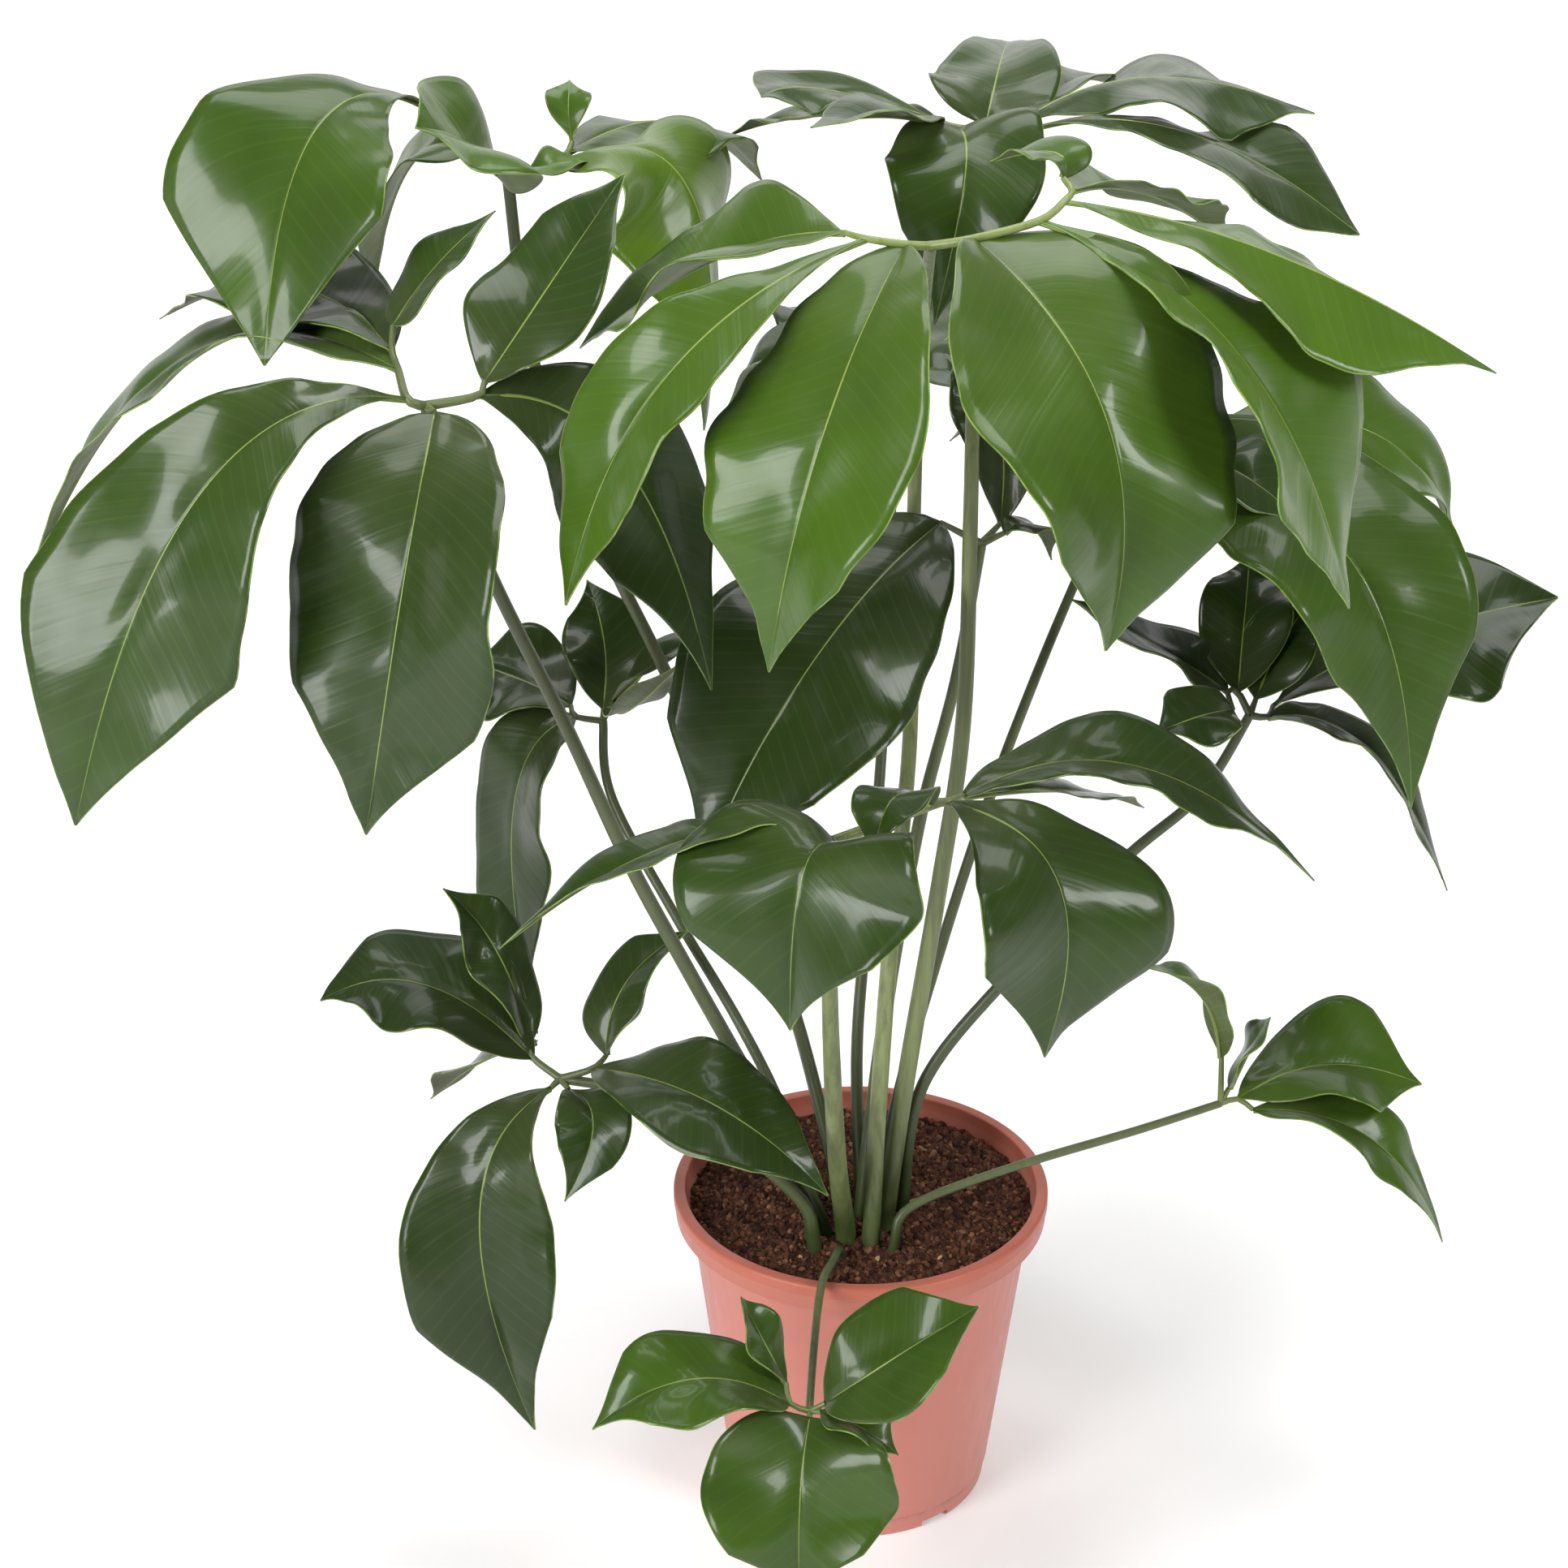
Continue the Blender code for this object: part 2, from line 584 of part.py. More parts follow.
def build_stalk(name, frond, collection):
    points = stalk_route(frond)
    last = len(points) - 2
    foot, top = (0.5 * girth for girth in frond.girth)
    radii = [foot] + [foot + (top - foot) * i / last for i in range(last + 1)]
    return tube(name, points, radii, 1, collection)


def build_arm(name, frond, leaves, collection):
    """The arm that leaves the hub and passes the base of each of its leaflets."""
    hub = Vector(frond.hub)
    points = [hub] + [hub + Vector(leaf.base) for leaf in leaves]
    last = len(points) - 1
    first = 0.5 * frond.girth[1] * ARM_GIRTH_SHARE
    radii = [first + (ARM_END_RADIUS - first) * i / last for i in range(last + 1)]
    return tube(name, points, radii, 0, collection)


def rib(hub, leaf, t):
    """The point on a leaflet's midrib at t from 0 to 1, and the direction that it runs in there."""
    base, middle, tip = (hub + Vector(end) for end in (leaf.base, leaf.middle, leaf.tip))
    bend = 2 * middle - 0.5 * (base + tip)
    point = (1 - t) ** 2 * base + 2 * t * (1 - t) * bend + t * t * tip
    run = 2 * (1 - t) * (bend - base) + 2 * t * (tip - bend)
    return point, run.normalized()


def blade_half_width(leaf, t):
    """Half a leaflet's width at t: narrow at the base, widest before its middle, drawn out at the tip."""
    lean = math.log(0.5) / math.log(leaf.widest)
    taper = leaf.taper + (BLADE_TIP_TAPER - leaf.taper) * max(t, 0.0)
    swell = math.sin(math.pi * t ** lean) ** taper if 0.0 < t < 1.0 else 0.0
    drip = 1.0 - BLADE_DRAWN_BY * max(t - BLADE_DRAWN_FROM, 0.0) / (1.0 - BLADE_DRAWN_FROM)
    least = BLADE_ROOT_WIDTH + (BLADE_TIP_WIDTH - BLADE_ROOT_WIDTH) * t
    return 0.5 * max(leaf.width * swell * drip, least)


def blade_frame(leaf, run):
    """The direction of a leaflet's right side and of its upper face, where its rib runs along run."""
    heading = Vector((leaf.tip[0] - leaf.base[0], leaf.tip[1] - leaf.base[1], 0.0))
    side = Vector((heading.y, -heading.x, 0.0)).normalized()
    side = (side - run * side.dot(run)).normalized()
    face = side.cross(run).normalized()
    turn = math.radians(leaf.roll)
    return side * math.cos(turn) - face * math.sin(turn), face * math.cos(turn) + side * math.sin(turn)


def blade_row(hub, leaf, t, phase):
    """The left edge, rib and right edge of a leaflet at t, with its fold and its waves."""
    point, run = rib(hub, leaf, t)
    side, face = blade_frame(leaf, run)
    half = blade_half_width(leaf, t)
    left_lift = half * (leaf.fold + BLADE_WAVE * math.sin(LEFT_WAVES * t + phase))
    right_lift = half * (leaf.fold + BLADE_WAVE * math.sin(RIGHT_WAVES * t + RIGHT_WAVE_SHIFT + phase))
    return [point - side * half + face * left_lift, point, point + side * half + face * right_lift]


def build_blade(name, hub, leaf, phase, collection):
    rows = [blade_row(hub, leaf, t, phase) for t in BLADE_STATIONS]
    work = bmesh.new()
    grid = [[work.verts.new(point * MM) for point in row] for row in rows]
    for near, far in zip(grid, grid[1:]):
        for k in range(2):
            work.faces.new((near[k], near[k + 1], far[k + 1], far[k]))
    bmesh.ops.triangulate(work, faces=work.faces[:], quad_method="FIXED")
    mesh = bpy.data.meshes.new(name)
    work.to_mesh(mesh)
    work.free()
    item = mesh_object(name, mesh, collection)
    wall = item.modifiers.new("Thickness", "SOLIDIFY")
    wall.thickness = BLADE_THICKNESS * MM
    wall.offset = 0.0
    wall.use_even_offset = False
    return applied(item)


def wave_phase(frond, index):
    """Where the waves of a leaflet's edges start, so that no two leaflets are alike."""
    return LEAF_WAVE_SHIFT * index + FROND_WAVE_SHIFT * frond.hub[0]


def frond_pieces(name, frond, collection):
    """Every piece of a frond but its stalk."""
    hub = Vector(frond.hub)
    for side, leaves in (("left", frond.left), ("right", frond.right)):
        if leaves:
            build_arm(f"{name}_{side}_arm", frond, leaves, collection)
    for side, leaves in (("middle", frond.middle), ("left", frond.left), ("right", frond.right)):
        for i, leaf in enumerate(leaves):
            if side == "middle":
                build_arm(f"{name}_{side}_{i}_root", frond, [leaf], collection)
            build_blade(f"{name}_{side}_{i}", hub, leaf, wave_phase(frond, i), collection)


def build_frond(name, frond, parts, material):
    stalk = build_stalk(name, frond, parts)
    pieces = new_collection(name + "_pieces", hidden=True)
    frond_pieces(name, frond, pieces)
    frond_object = boolean(stalk, "UNION", pieces, "MANIFOLD")
    keep_outer_shell(frond_object.data)
    smooth(frond_object, FROND_SHARP_ANGLE)
    frond_object.data.materials.append(material)
    return frond_object


def main():
    clear_scene()
    parts = new_collection("potted_philodendron")
    build_pot(parts)
    build_soil(parts)
    for name, frond in FRONDS.items():
        build_frond(name, frond, parts, principled(name, LOOKS["frond"]))


if __name__ == "__main__":
    main()
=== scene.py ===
"""Looks of a potted philodendron: glossy leaflets on long stalks, a plastic pot and its peat.

Lengths in the tables are in millimetres and the scene is in metres, with +Z up and the plant's
front towards -Y. The origin is the middle of the pot's foot.
"""
import math
import random
from collections import namedtuple

import bmesh
import bpy
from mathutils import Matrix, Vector, noise


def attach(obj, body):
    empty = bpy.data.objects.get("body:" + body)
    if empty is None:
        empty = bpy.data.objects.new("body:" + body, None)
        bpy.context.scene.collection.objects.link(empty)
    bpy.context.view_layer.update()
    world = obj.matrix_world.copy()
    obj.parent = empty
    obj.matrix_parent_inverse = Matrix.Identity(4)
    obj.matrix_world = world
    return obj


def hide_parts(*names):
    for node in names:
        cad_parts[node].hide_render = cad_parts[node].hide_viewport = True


MM = 0.001
ROOT = "root"

# Camera and studio
CAMERA_PLACE = (-0.043, -1.540, 1.190)
CAMERA_TILT = math.radians(64.0)
SENSOR_WIDTH = 36.0
PICTURE_SIDE = 1932.0
FOCAL_PIXELS = 4000.0
FLOOR_RADIUS = 60.0
FLOOR_SIDES = 96
FLOOR_DROP = 0.0005
LIGHT_AIM = (0.0, 0.0, 0.45)

# Softboxes: name, place, width, height and power
SOFTBOXES = (
    ("key_left", (-1.7, -1.8, 1.5), 1.0, 1.6, 73.0),
    ("key_right", (1.8, -1.2, 1.9), 0.7, 0.9, 36.0),
    ("top", (0.0, 0.4, 2.6), 1.8, 1.4, 46.0),
    ("back", (0.0, 2.4, 1.7), 3.0, 1.4, 16.0),
)

# Pot
POT_HEIGHT = 190.0
LIP_RADIUS = 105.0
LIP_DROP = 16.0
LIP_WALL = 1.9
LIP_INNER_RADIUS = 98.2
LIP_INNER_DROP = 6.0
LIP_ROUND = 2.0
BEAD_HEIGHT = 7.5
BAND_STEP = 1.1
NECK_RADIUS = 95.2
NECK_HEIGHT = 172.0
FOOT_RADIUS = 74.0
FOOT_BAND_HEIGHT = 12.0
FOOT_BAND_STEP = 0.7
POT_WALL = 2.2
FLOOR_TOP = 6.0
FLOOR_FILLET = 2.0
EDGE_ROUND = 1.0
RECESS_DEPTH = 3.0
RECESS_INNER_RADIUS = 34.0
RECESS_OUTER_RADIUS = 64.0
POT_SIDES = 160
POT_SHARP_ANGLE = 40.0
DUST_MARGIN = 0.5
DRAIN_COUNT = 8
DRAIN_SIDES = 28
DRAIN_RADIUS = 4.5
DRAIN_RING_RADIUS = 50.0
NOTCH_COUNT = 4
NOTCH_FIRST_ANGLE = -54.0
NOTCH_WIDTH = 18.0
NOTCH_HEIGHT = 4.0
NOTCH_REACH = 24.0

# Soil
SOIL_EDGE_HEIGHT = 178.0
SOIL_MOUND = 5.0
SOIL_LUMP = 1.4
LONG_LUMPS = (0.21, 0.17)
SHORT_LUMPS = (0.29, 0.37)
SHORT_LUMP_SHARE = 0.6
LUMP_SHIFT = 1.3
FINE_LUMP = 0.9
FINE_LUMP_SCALE = 0.11
FINE_LUMP_SLICE = 4.0
SOIL_GAP = 0.4
SOIL_RINGS = 56
SOIL_SIDES = 132
SOIL_SHARP_ANGLE = 60.0
SOIL_TINT = 0.35
SOIL_TINT_SPREAD = 0.4
SOIL_TINT_SCALE = 260.0

# Crumbs and fibres on the soil
LEAST_UPWARD = 0.4
CRUMB_LEAST = (0.7, 0.7, 0.5)
CRUMB_MOST = (1.3, 1.3, 0.9)
CRUMB_TURN = (math.tau, math.tau, math.tau)
CRUMB_SIZE_SKEW = 2.2
CRUMB_LUMP_SCALE = 700.0
CRUMB_TINT_SEED = 7
FIBRE_TURN = (0.25, 0.25, math.tau)
FIBRE_POINTS = 6
FIBRE_SIDES = 3
FIBRE_SHORTEST = 0.4
FIBRE_SWAY_SCALE = 110.0
FIBRE_TINT_SEED = 3

# Chips of wood on the soil: x, y, length, width and turn in radians
CHIPS = (
    (31, -8, 10, 4.5, 0.35), (8, -62, 5, 3, 1.2), (56, 8, 5, 3, 2.4), (42, -62, 4, 2, 0.9),
    (-34, -60, 4, 2, 1.9),
)
CHIP_SEED = 5
CHIP_JAG = 0.16
CHIP_LIFT = 1.3
CHIP_HALF_THICKNESS = 0.8
CHIP_SLOPE = 0.12

# Stalks and ribs
STALK_FOOT_DEPTH = 24.0
STALK_STRAIGHT = 5.0
STALK_LEAN = 0.2
STALK_LEAST_RISE = 12.0
ARM_GIRTH_SHARE = 0.8
ARM_END_RADIUS = 1.4
RIB_RADIUS = 1.25
RIB_END_RADIUS = 0.3
RIB_POINTS = 9
RIB_END = 0.97
RIB_SINK = 1.2
RIB_SINK_LOSS = 0.8
RIB_PALENESS = 0.8
FOOT_FADE = 0.8
STEM_STEP = 5.0
STEM_SIDES = 14
STEM_GROOVES = 7.0
STEM_GROOVE_DEPTH = 0.03

# Leaflets
LEAF_THICKNESS = 0.7
LEAF_ROOT_WIDTH = 2.5
LEAF_TIP_WIDTH = 1.0
LEAF_DRAWN_FROM = 0.75
LEAF_DRAWN_BY = 0.6
LEAF_TIP_TAPER = 0.8
LEAF_WAVE = 0.2
LEFT_WAVES = 9.0
RIGHT_WAVES = 8.0
RIGHT_WAVE_SHIFT = 2.0
LEAF_WAVE_SHIFT = 1.7
FROND_WAVE_SHIFT = 0.01
PLANT_TOP = 798.0
TOP_EASE = 10.0
LEAF_ROWS = 64
LEAF_COLUMNS = 11
COLUMN_CROWDING = 1.4
RISE_AT_RIB = 1.45
RISE_LOSS = 0.45
NARROW_HALF = 12.0
CALM_BY_RIB = 9.0
SWELL_LENGTH = 31.0
SWELL_HEIGHT = 3.6
MARGIN_WAVE_LENGTH = 18.0
MARGIN_WAVE_HEIGHT = 2.2
MARGIN_WAVE_SLICE = 3.0
MARGIN_SWAY_LENGTH = 24.0
MARGIN_SWAY_SLICE = 5.0
MARGIN_SWAY = 0.07
RIB_GROOVE = 0.55
RIB_GROOVE_WIDTH = 2.4
VEIN_SPACING = 8.0
VEIN_SLANT = 0.62
VEIN_RIPPLE = 0.025
SHADE_SPREAD = 0.05
FROND_SEED = 11
LEAF_SEEDS = (0.0, 90.0)
SIDE_SEEDS = (0.0, 7.0)

# A leaflet: where its base, middle and tip lie from the frond's hub, its width, how far its
# right edge, seen from the base, is rolled down in degrees, where along its length it is
# widest, how steeply its halves rise from the midrib, how slowly it widens from its base, and
# how much brighter it is than the rest of its frond, which is its own tone and, for some
# leaflets, partly painted light, as noted at their rows
Leaf = namedtuple(
    "Leaf", "base middle tip width roll widest fold taper shade",
    defaults=(0, 0.47, 0.16, 0.8, 0.0))

# A frond: where its stalk leaves the soil, how thick the stalk is at its foot and at its top, how
# bright its leaflets are, from the darkest green at 0 to yellow-green at 1, which is their own tone
# and, for some fronds, partly painted sheen, as noted at their rows, how pale its stalk is, the
# points that the stalk rises through, the hub at its top, the leaflets at the hub, and those along
# the two arms that leave it
Frond = namedtuple("Frond", "foot girth shade stalk_shade route hub middle left right")

FRONDS = {}
FRONDS["frond_rear_left"] = Frond(
    foot=(-12, -16), girth=(8.4, 6.2), shade=0.54, stalk_shade=0.3,
    route=[(-22, 12, 228), (-45, 48, 300), (-96, 92, 432), (-142, 104, 535), (-175, 104, 635)],
    hub=(-185, 100, 735),
    middle=[Leaf((5, -2, 2), (22, -8, 12), (45, -5, 12), 30, shade=0.2)],
    left=[
        Leaf((-5, 0, 5), (-20, -42, 34), (-38, -75, 48), 80, -40, 0.42, 0.3),
        Leaf((-20, 28, 8), (-59, 62, -9), (-86, 92, -96), 76, -30),
        Leaf((-34, 16, 31), (-90, -44, 41), (-114, -112, -61), 122, -12, 0.72, taper=0.7),
    ],
    right=[
        # Brighter: partly its own fresher tone and partly painted light shining through the leaflet
        Leaf((25, 5, 10), (93, 0, -3), (100, -25, -126), 118, 5, fold=-0.25, taper=0.6, shade=0.28),
        Leaf((30, 15, 12), (87, 70, 14), (130, 105, -28), 74, fold=-0.15),
        Leaf((32, 20, 16), (30, 30, 30), (30, 45, 42), 24, 0, 0.66, shade=0.15),
    ],
)
FRONDS["frond_front_left"] = Frond(
    foot=(-22, -38), girth=(9.2, 6.4), shade=0.36, stalk_shade=0.3,
    route=[(-55, -32, 262), (-95, -30, 345), (-125, -30, 410), (-155, -35, 490), (-190, -45, 580)],
    hub=(-215, -60, 670),
    middle=[
        Leaf((5, -8, 0), (-8, -70, -70), (-30, -80, -190), 122, 0, 0.52, taper=0.5, shade=-0.08),
    ],
    left=[
        Leaf((-8, -5, 5), (-98, -62, -19), (-170, -80, -185), 118, -42, 0.74, taper=0.6),
        Leaf((-16, 30, 8), (-138, 112, -14), (-230, 100, -146), 66, -10, shade=0.1),
        Leaf((-20, 42, 14), (-83, 120, 23), (-156, 160, -8), 72, -15),
        Leaf((-20, 50, 24), (2, 65, 51), (30, 80, 73), 40, 0, 0.34),
    ],
    right=[
        Leaf((25, 0, 5), (93, 10, -31), (136, -10, -145), 78, 48, 0.55, -0.2),
        Leaf((28, 5, 10), (57, 30, 48), (95, 70, 95), 64, 15, fold=0.2),
    ],
)
FRONDS["frond_mid_left"] = Frond(
    foot=(-25, -26), girth=(7.2, 5.0), shade=0.24, stalk_shade=0.2,
    route=[(-45, 0, 240), (-70, 30, 280), (-105, 60, 330), (-140, 95, 385)],
    hub=(-145, 120, 420),
    middle=[Leaf((0, 5, 5), (0, 30, 35), (-10, 50, 65), 50)],
    left=[
        Leaf((-15, -5, 5), (-50, -30, -42), (-41, -30, -186), 68),
        Leaf((-18, 3, 8), (-50, 20, 18), (-78, 30, 22), 74, -20),
    ],
    right=[
        Leaf((5, 8, 8), (38, 0, 42), (80, -5, 64), 36),
        Leaf((8, -6, 10), (22, -50, 34), (48, -80, 72), 30),
    ],
)
FRONDS["frond_low_left"] = Frond(
    foot=(-27, -51), girth=(8.8, 5.4), shade=0.26, stalk_shade=0.3,
    route=[(-35, -46, 210), (-77, -38, 245), (-121, -28, 265)],
    hub=(-165, -20, 270),
    middle=[
        Leaf((5, -8, -2), (20, -40, -5), (5, -60, -40), 42),
        Leaf((-5, -5, -3), (-42, -50, -55), (-16, -60, -190), 84, 0, 0.62, taper=0.65),
    ],
    left=[
        Leaf((-15, 8, 8), (-75, 20, 48), (-130, 15, 40), 84, -16),
        Leaf((-18, 15, 12), (-35, 42, 55), (-65, 55, 88), 42),
        Leaf((-15, 22, 10), (-50, 60, -25), (-82, 85, -65), 44),
    ],
    right=[
        Leaf((18, -3, 8), (85, -62, 22), (145, -85, -20), 66, 15, fold=0.05),
        Leaf((25, 8, 10), (35, 25, 45), (70, 40, 70), 44),
    ],
)
FRONDS["frond_centre"] = Frond(
    foot=(-9, -44), girth=(12.4, 7.0), shade=0.36, stalk_shade=0.75,
    route=[(-14, -62, 240), (-18, -90, 320), (-20, -112, 390)],
    hub=(-20, -128, 470),
    middle=[Leaf((3, -6, 2), (-15, -32, -5), (-20, -45, -80), 132, taper=0.45)],
    left=[Leaf((-5, 4, 2), (-80, 12, -8), (-165, 10, -65), 44, 8)],
    right=[
        Leaf((50, 28, 6), (30, -2, 25), (20, -22, 0), 36),
        Leaf((58, 28, 8), (110, -22, -12), (105, -37, -100), 116, 0, 0.62, 0.02, taper=0.7),
        Leaf((66, 42, 4), (155, 58, 13), (248, 58, -52), 62, 8),
        Leaf((68, 50, 0), (125, 98, -20), (170, 148, -55), 35),
    ],
)
FRONDS["frond_top_bright"] = Frond(
    foot=(5, -46), girth=(10.8, 5.6), shade=0.64, stalk_shade=0.95,
    route=[(8, -30, 250), (15, -5, 355), (24, 25, 450), (25, 48, 560), (25, 25, 660),
           (25, -35, 720)],
    hub=(25, -80, 755),
    middle=[],
    left=[
        Leaf((-12, -4, 2), (-52, -75, -70), (-75, -80, -180), 106),
        Leaf((-30, -5, 5), (-122, -42, -49), (-170, -60, -155), 66, -22, 0.64),
        Leaf((-40, 5, 5), (-100, 38, -17), (-169, 80, -76), 86, -20, 0.6, 0.3, shade=-0.06),
    ],
    right=[
        Leaf((20, -5, 5), (78, -78, -60), (80, -90, -165), 144, 0, 0.46, taper=0.65, shade=-0.06),
        # Brighter by painted light: a painted sheen on a leaflet that lies turned away, in shade
        Leaf((50, 0, 12), (142, -35, -42), (200, -40, -165), 104, 12, 0.68, shade=0.12),
        # Brighter: partly its own yellow-green tone and partly painted light shining through the
        # leaflet
        Leaf((62, 6, 20), (165, 10, -8), (270, 10, -65), 86, 6, 0.62, -0.35, shade=0.1),
        Leaf((66, 16, 22), (110, 90, 0), (160, 160, -45), 60),
        Leaf((62, 22, 26), (58, 32, 36), (30, 55, 25), 36),
    ],
)
FRONDS["frond_top_rear"] = Frond(
    foot=(13, -30), girth=(11.2, 6.2), shade=0.3, stalk_shade=0.8,
    route=[(25, -18, 280), (40, -14, 390), (50, -12, 480), (51, -12, 590), (52, 20, 680)],
    hub=(55, 90, 765),
    middle=[Leaf((5, 10, 0), (15, 60, 20), (25, 150, 10), 66, 0, 0.29)],
    left=[
        Leaf((-10, -4, 2), (-8, -45, -12), (-22, -55, -85), 80, 0, 0.38, taper=0.6, shade=0.12),
        Leaf((-18, -2, 4), (-50, -40, 18), (-85, -90, 25), 40),
        Leaf((-22, 5, 5), (-80, 10, 19), (-109, -20, 22), 50, -15, 0.6, 0.0),
        Leaf((-20, 12, 3), (-79, 60, -7), (-128, 100, -29), 34),
    ],
    right=[
        Leaf((15, -5, -2), (98, -28, 8), (190, -50, -40), 104, 5, 0.79, -0.1),
        Leaf((22, 4, 3), (90, 22, 22), (175, 22, 3), 110, 0, 0.6, -0.2),
        Leaf((18, 15, 2), (65, 110, 0), (105, 200, -30), 60),
    ],
)
FRONDS["frond_inner_dark"] = Frond(
    # The leaflets' brightness is partly their own dark tone and partly a painted sheen, for the
    # broad highlight on the big leaflet
    foot=(0, -20), girth=(9.4, 5.6), shade=0.24, stalk_shade=0.5,
    route=[(12, 8, 290), (30, 30, 400), (48, 38, 480)],
    hub=(60, 38, 560),
    middle=[Leaf((10, 8, 8), (8, 45, 60), (-18, 75, 78), 52)],
    left=[Leaf((-22, -8, 15), (-90, -68, -40), (-146, -100, -142), 120, -26, 0.5, taper=0.65)],
    right=[Leaf((12, 0, 6), (26, 8, 8), (38, 12, -14), 34)],
)
FRONDS["frond_right"] = Frond(
    foot=(23, -20), girth=(7.8, 5.2), shade=0.2, stalk_shade=0.15,
    route=[(33, -14, 262), (80, -3, 326), (140, 12, 388), (180, 22, 422)],
    hub=(205, 30, 465),
    middle=[Leaf((4, 8, 6), (18, 28, 28), (34, 42, 46), 42, 20)],
    left=[
        Leaf((-6, 8, 10), (0, 40, 40), (5, 70, 65), 50),
        Leaf((-12, 5, 12), (-45, 18, 30), (-95, 28, 55), 52),
        Leaf((-10, -6, 6), (-32, -28, 12), (-55, -48, 12), 42, -30),
    ],
    right=[
        Leaf((10, 2, -2), (65, 0, -20), (110, -20, -95), 42),
        Leaf((14, 12, 0), (92, 88, 6), (183, 100, 26), 104, 28, 0.68, taper=0.7),
    ],
)
FRONDS["frond_low_right"] = Frond(
    # The leaflets' brightness is partly their own tone and partly a painted sheen on the big
    # leaflet
    foot=(17, -55), girth=(5.8, 4.4), shade=0.6, stalk_shade=0.35,
    route=[(27, -48, 206), (84, -30, 220), (152, -12, 232)],
    hub=(199, 0, 242),
    middle=[Leaf((5, 6, 6), (15, 6, 32), (25, 5, 52), 32)],
    left=[Leaf((0, 8, 25), (-15, 0, 70), (-50, -15, 95), 36)],
    right=[
        Leaf((10, 3, 1), (60, 18, 14), (115, 20, 0), 80, 15, 0.62, taper=0.6),
        Leaf((18, -2, -3), (82, -16, -13), (125, -25, -75), 44, 10),
    ],
)
FRONDS["frond_over_rim"] = Frond(
    foot=(-12, -62), girth=(4.8, 4.2), shade=0.56, stalk_shade=0.4,
    route=[(-17, -80, 191), (-22, -101, 195), (-25, -122, 192), (-28, -157, 183)],
    hub=(-30, -190, 175),
    middle=[
        Leaf((0, -5, 0), (-5, -35, -30), (-5, -46, -78), 100, 0, 0.42, taper=0.5),
        Leaf((6, -3, 2), (25, -15, 2), (45, -20, -12), 30),
    ],
    left=[
        Leaf((-10, 0, 5), (-60, -5, 24), (-110, -15, 0), 62, -15, taper=0.6),
        Leaf((-12, 8, 12), (-25, 18, 35), (-35, 22, 55), 24),
    ],
    right=[Leaf((8, 0, 5), (40, -5, 35), (85, 5, 61), 68, 25, 0.55, taper=0.6)],
)
FRONDS["frond_rear_right"] = Frond(
    foot=(12, -12), girth=(7.2, 5.0), shade=0.4, stalk_shade=0.35,
    route=[(20, 8, 240), (45, 30, 330), (70, 48, 410), (95, 75, 470), (118, 98, 520)],
    hub=(145, 120, 580),
    middle=[Leaf((5, 15, 0), (25, 100, 5), (40, 180, -20), 66)],
    left=[Leaf((-10, 2, 2), (-55, 30, 15), (-95, 60, -15), 50)],
    right=[
        # Brighter: partly its own paler tone and partly a painted sheen
        Leaf((5, -5, 0), (105, -80, -25), (144, -120, -155), 116, 22, taper=0.7, shade=0.08),
        Leaf((12, -6, 2), (48, -45, 8), (90, -65, -20), 58),
        # Brighter: partly its own tone and partly painted light shining through the leaflet
        Leaf((15, 8, 0), (126, 30, 5), (183, 20, -58), 98, 20, 0.7, shade=0.22),
    ],
)
FRONDS["frond_back"] = Frond(
    foot=(0, -6), girth=(7.6, 5.0), shade=0.3, stalk_shade=0.2,
    route=[(-2, 25, 270), (8, 65, 380), (15, 120, 470), (18, 180, 540)],
    hub=(20, 220, 585),
    middle=[Leaf((0, 10, 2), (8, 90, 5), (10, 165, -40), 74, taper=0.65)],
    left=[
        Leaf((-8, 0, 2), (-55, 20, 15), (-95, 20, -20), 65),
        Leaf((-10, 10, 3), (-35, 70, 12), (-65, 140, 0), 70),
    ],
    right=[
        Leaf((8, 0, 2), (35, -10, 8), (65, -20, -35), 55),
        Leaf((10, 8, 3), (45, 70, 12), (85, 140, -5), 70),
    ],
)


def colour(code):
    """A colour given as a six-figure code, as the linear values that shaders and lights take."""
    parts = [int(code[i:i + 2], 16) / 255 for i in (0, 2, 4)]
    return (*(((p + 0.055) / 1.055) ** 2.4 if p > 0.04 else p / 12.92 for p in parts), 1.0)


# Node trees
def add(tree, kind, inputs=None, **settings):
    """A node with its settings, its inputs set to values or joined to other nodes' outputs."""
    made = tree.nodes.new(kind)
    for name, value in settings.items():
        setattr(made, name, value)
    for key, value in (inputs or {}).items():
        if isinstance(value, bpy.types.NodeSocket):
            tree.links.new(value, made.inputs[key])
        else:
            made.inputs[key].default_value = value
    return made


def result(tree, kind, inputs=None, **settings):
    """The first output of a new node."""
    return add(tree, kind, inputs, **settings).outputs[0]


def maths(tree, operation, *values):
    return result(tree, "ShaderNodeMath", dict(enumerate(values)), operation=operation)


def upward(tree, vector):
    return add(tree, "ShaderNodeSeparateXYZ", {0: vector}).outputs["Z"]


def soft_step(tree, value, low, high, at_low=0.0, at_high=1.0):
    """Goes smoothly from at_low to at_high as the value goes from low to high."""
    inputs = {"Value": value, "From Min": low, "From Max": high,
              "To Min": at_low, "To Max": at_high}
    return result(tree, "ShaderNodeMapRange", inputs, interpolation_type="SMOOTHSTEP")


def blended(tree, factor, low, high):
    """A colour that goes from low to high with the factor."""
    mix = add(tree, "ShaderNodeMix", {0: factor, 6: low, 7: high}, data_type="RGBA")
    return mix.outputs[2]


def tinted(tree, under, code, value, *span):
    """A colour that takes on another as a value goes over a soft step."""
    return blended(tree, soft_step(tree, value, *span), under, colour(code))


